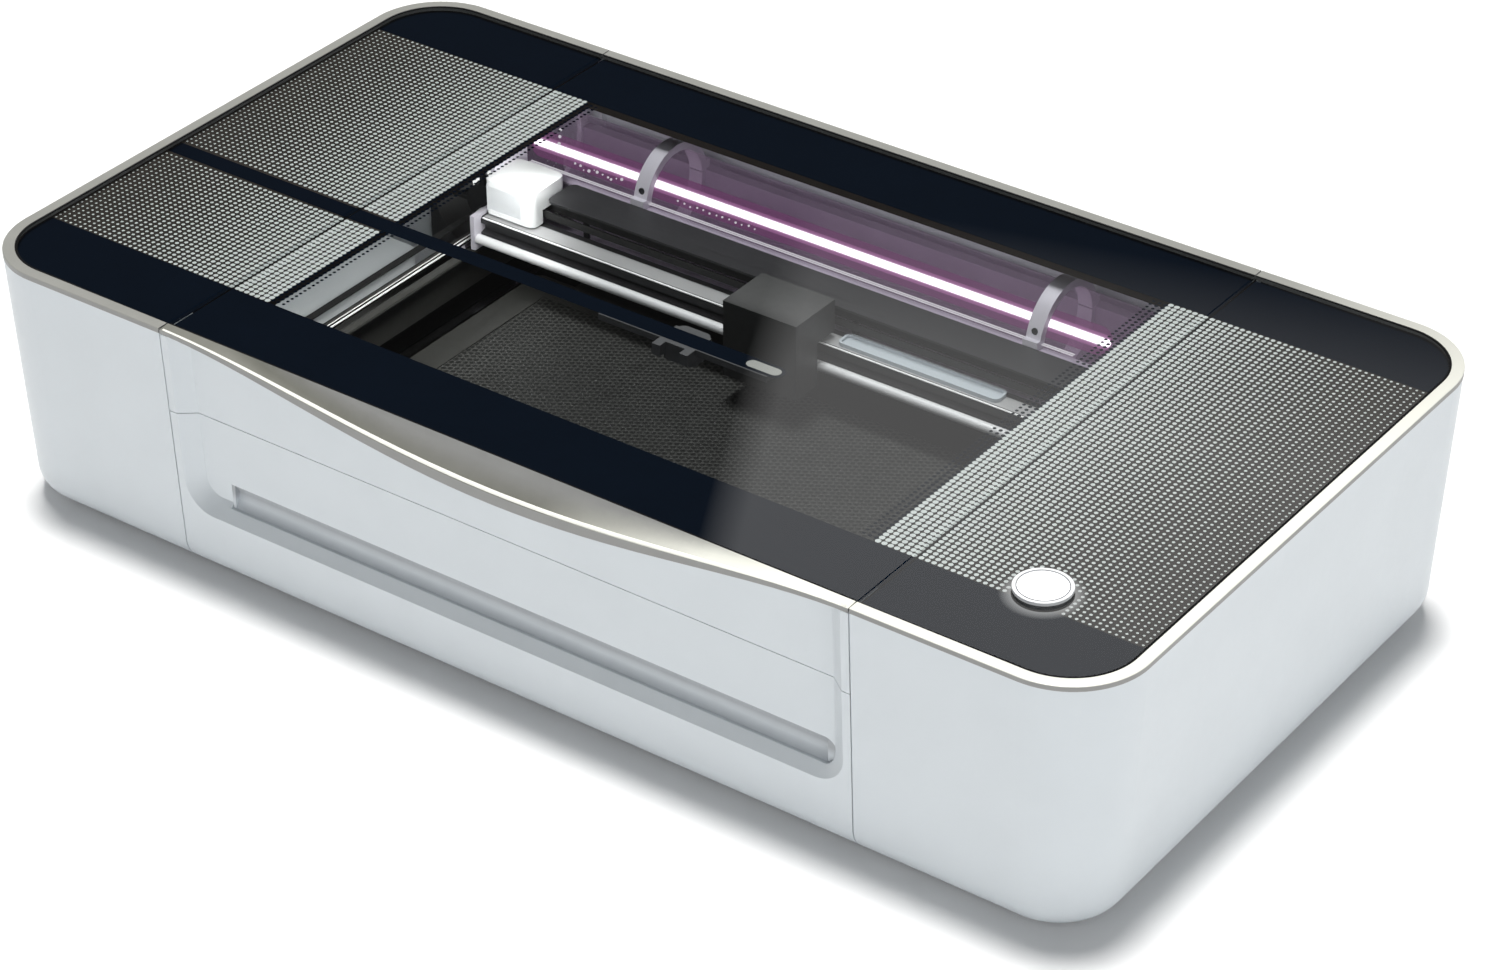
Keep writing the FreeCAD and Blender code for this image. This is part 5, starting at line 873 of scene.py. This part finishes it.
LINE_INNER, LINE_OUTER = 0.0001, 0.0008
cap_low, cap_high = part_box("button_cap")
cap_radius = (cap_high.x - cap_low.x) / 2
flat_ring("button_line", button_at, cap_radius + LINE_INNER, cap_radius + LINE_OUTER,
          button_high.z - 0.0001, button_high.z + 0.0002, "case",
          moulded("line_grey", linear(118, 120, 124), 0.5, 0.03))

GASKET_WIDE, GASKET_INSET = 0.0016, 0.00005
SEAM_STRAIGHT, SEAM_NEAR = 0.0005, 0.003


def edge_strip(name, node, wide, low, high, body, material):
    """A thin strip along the outer edges of a pane's top, with none beside the seams between panes."""
    outer = inset(outline(node), GASKET_INSET)
    inner = inset(outer, wide)
    count = len(outer)
    on_seam = [abs(outer[k].x - outer[k - 1].x) < SEAM_STRAIGHT and
               abs(abs(outer[k].x) - SEAM_X) < SEAM_NEAR for k in range(count)]
    points, faces = [], []
    for k in range(count):
        if on_seam[k]:
            continue
        start = len(points)
        for end in (k - 1, k):
            points += [(p.x, p.y, z) for p, z in ((inner[end], low), (outer[end], low), (outer[end], high),
                                                  (inner[end], high))]
        faces += [[start + i, start + (i + 1) % 4, start + 4 + (i + 1) % 4, start + 4 + i] for i in range(4)]
        faces += [[start + 3, start + 2, start + 1, start], [start + 4, start + 5, start + 6, start + 7]]
    return piece(name, from_lists(name, points, faces), body, material)


gasket = moulded("gasket_black", linear(12, 12, 13), 0.6, 0.05, specular=0.1)
for node, body in (("glass_left", "case"), ("glass_right", "case"), ("lid_glass", "lid")):
    edge_strip("gasket_" + node, node, GASKET_WIDE, GLASS_TOP - 0.0001, GLASS_TOP + 0.0002, body, gasket)

BADGE_LEFT, BADGE_RIGHT = STRIPE_END - 0.0270, STRIPE_END - 0.0075
BADGE_HALF, BADGE_STEPS = 0.0046, 9
badge_middle = (STRIPE_LOW + STRIPE_HIGH) / 2
badge_shape = []
for side, x in ((1, BADGE_RIGHT), (-1, BADGE_LEFT)):
    for k in range(BADGE_STEPS + 1):
        turn = -math.pi / 2 + math.pi * k / BADGE_STEPS
        badge_shape.append(Vector((x + side * BADGE_HALF * math.cos(turn),
                                   badge_middle + side * BADGE_HALF * math.sin(turn))))
badge_points, badge_faces = slab(badge_shape, SHEET_Z + SHEET * 1.05, SHEET_Z + SHEET * 1.2)
piece("stripe_badge", from_lists("stripe_badge", badge_points, badge_faces), "lid",
      moulded("badge_grey", linear(176, 176, 172), 0.6, 0.03, specular=0.0))

HALO_START, HALO_INNER, HALO_OUTER = 0.0198, 0.0207, 0.0290
HALO_COVER = 0.42


def halo_finish(name, middle):
    """White light that fades away from a point."""
    g = Graph(name)
    x, y, _ = g.axes()
    across = g.math("SUBTRACT", x, middle.x)
    upward = g.math("SUBTRACT", y, middle.y)
    squares = g.math("ADD", g.math("MULTIPLY", across, across), g.math("MULTIPLY", upward, upward))
    cover = g.ramp(g.math("SQRT", squares), HALO_START, HALO_OUTER, HALO_COVER, 0.0)
    light = g.node("Emission", Color=(1, 1, 1, 1), Strength=0.9)
    return g.finish(g.mixed(cover, g.node("BsdfTransparent"), light))


halo_points = [(px, py, SHEET_Z + SHEET * 1.1) for radius in (HALO_INNER, HALO_OUTER)
               for px, py in circle(button_at.x, button_at.y, radius, RING_SIDES)]
piece("button_halo", from_lists("button_halo", halo_points, ring_faces(0, 1, RING_SIDES)), "case",
      halo_finish("button_halo", button_at))

# ---------------------------------------------------------------- floor and lamps

FLOOR_REACH, FLOOR_DROP = 14, 0.0002


def make_floor():
    g = Graph("floor_white")
    colour = g.blend(g.noise(0.6, 2.0), rgba((0.93,) * 3), rgba((0.96,) * 3))
    corners = [(x * FLOOR_REACH, y * FLOOR_REACH, -FLOOR_DROP)
               for x, y in ((-1, -1), (1, -1), (1, 1), (-1, 1))]
    mesh = from_lists("floor", corners, [[0, 1, 2, 3]])
    mesh.materials.append(g.finish(g.solid(colour, 0.9, specular=0.1)))
    floor = bpy.data.objects.new("floor", mesh)
    bpy.context.scene.collection.objects.link(floor)


make_floor()
soft_card("window_card", ((-2.05, 2.14), (-0.45, 3.4), 3.0), 0.66, 0.09, 0.35)
sun_light("key", (0.075, -0.075, -0.99), 3.7, math.radians(12), (1.0, 0.99, 0.975))
area_light("fill", (2.9, -1.9, 1.3), (0, 0, 0.1), 1.6, 1.6, 15, (0.96, 0.98, 1.0))
area_light("front_top", (0, -2.6, 2.2), (0, -0.25, 0.1), 1.2, 1.2, 2.5, (1.0, 1.0, 1.0))


def inside_light(name, at, aim, width, height, power):
    light = area_light(name, at, aim, width, height, power, (1.0, 1.0, 0.98))
    light.visible_camera = light.visible_glossy = False


inside_light("inside_left", (-0.255, -0.02, 0.185), (-0.33, -0.02, 0.09), 0.30, 0.03, 0.45)
inside_light("inside_back", (0.0, 0.08, 0.185), (0.0, 0.20, 0.12), 0.50, 0.03, 0.15)
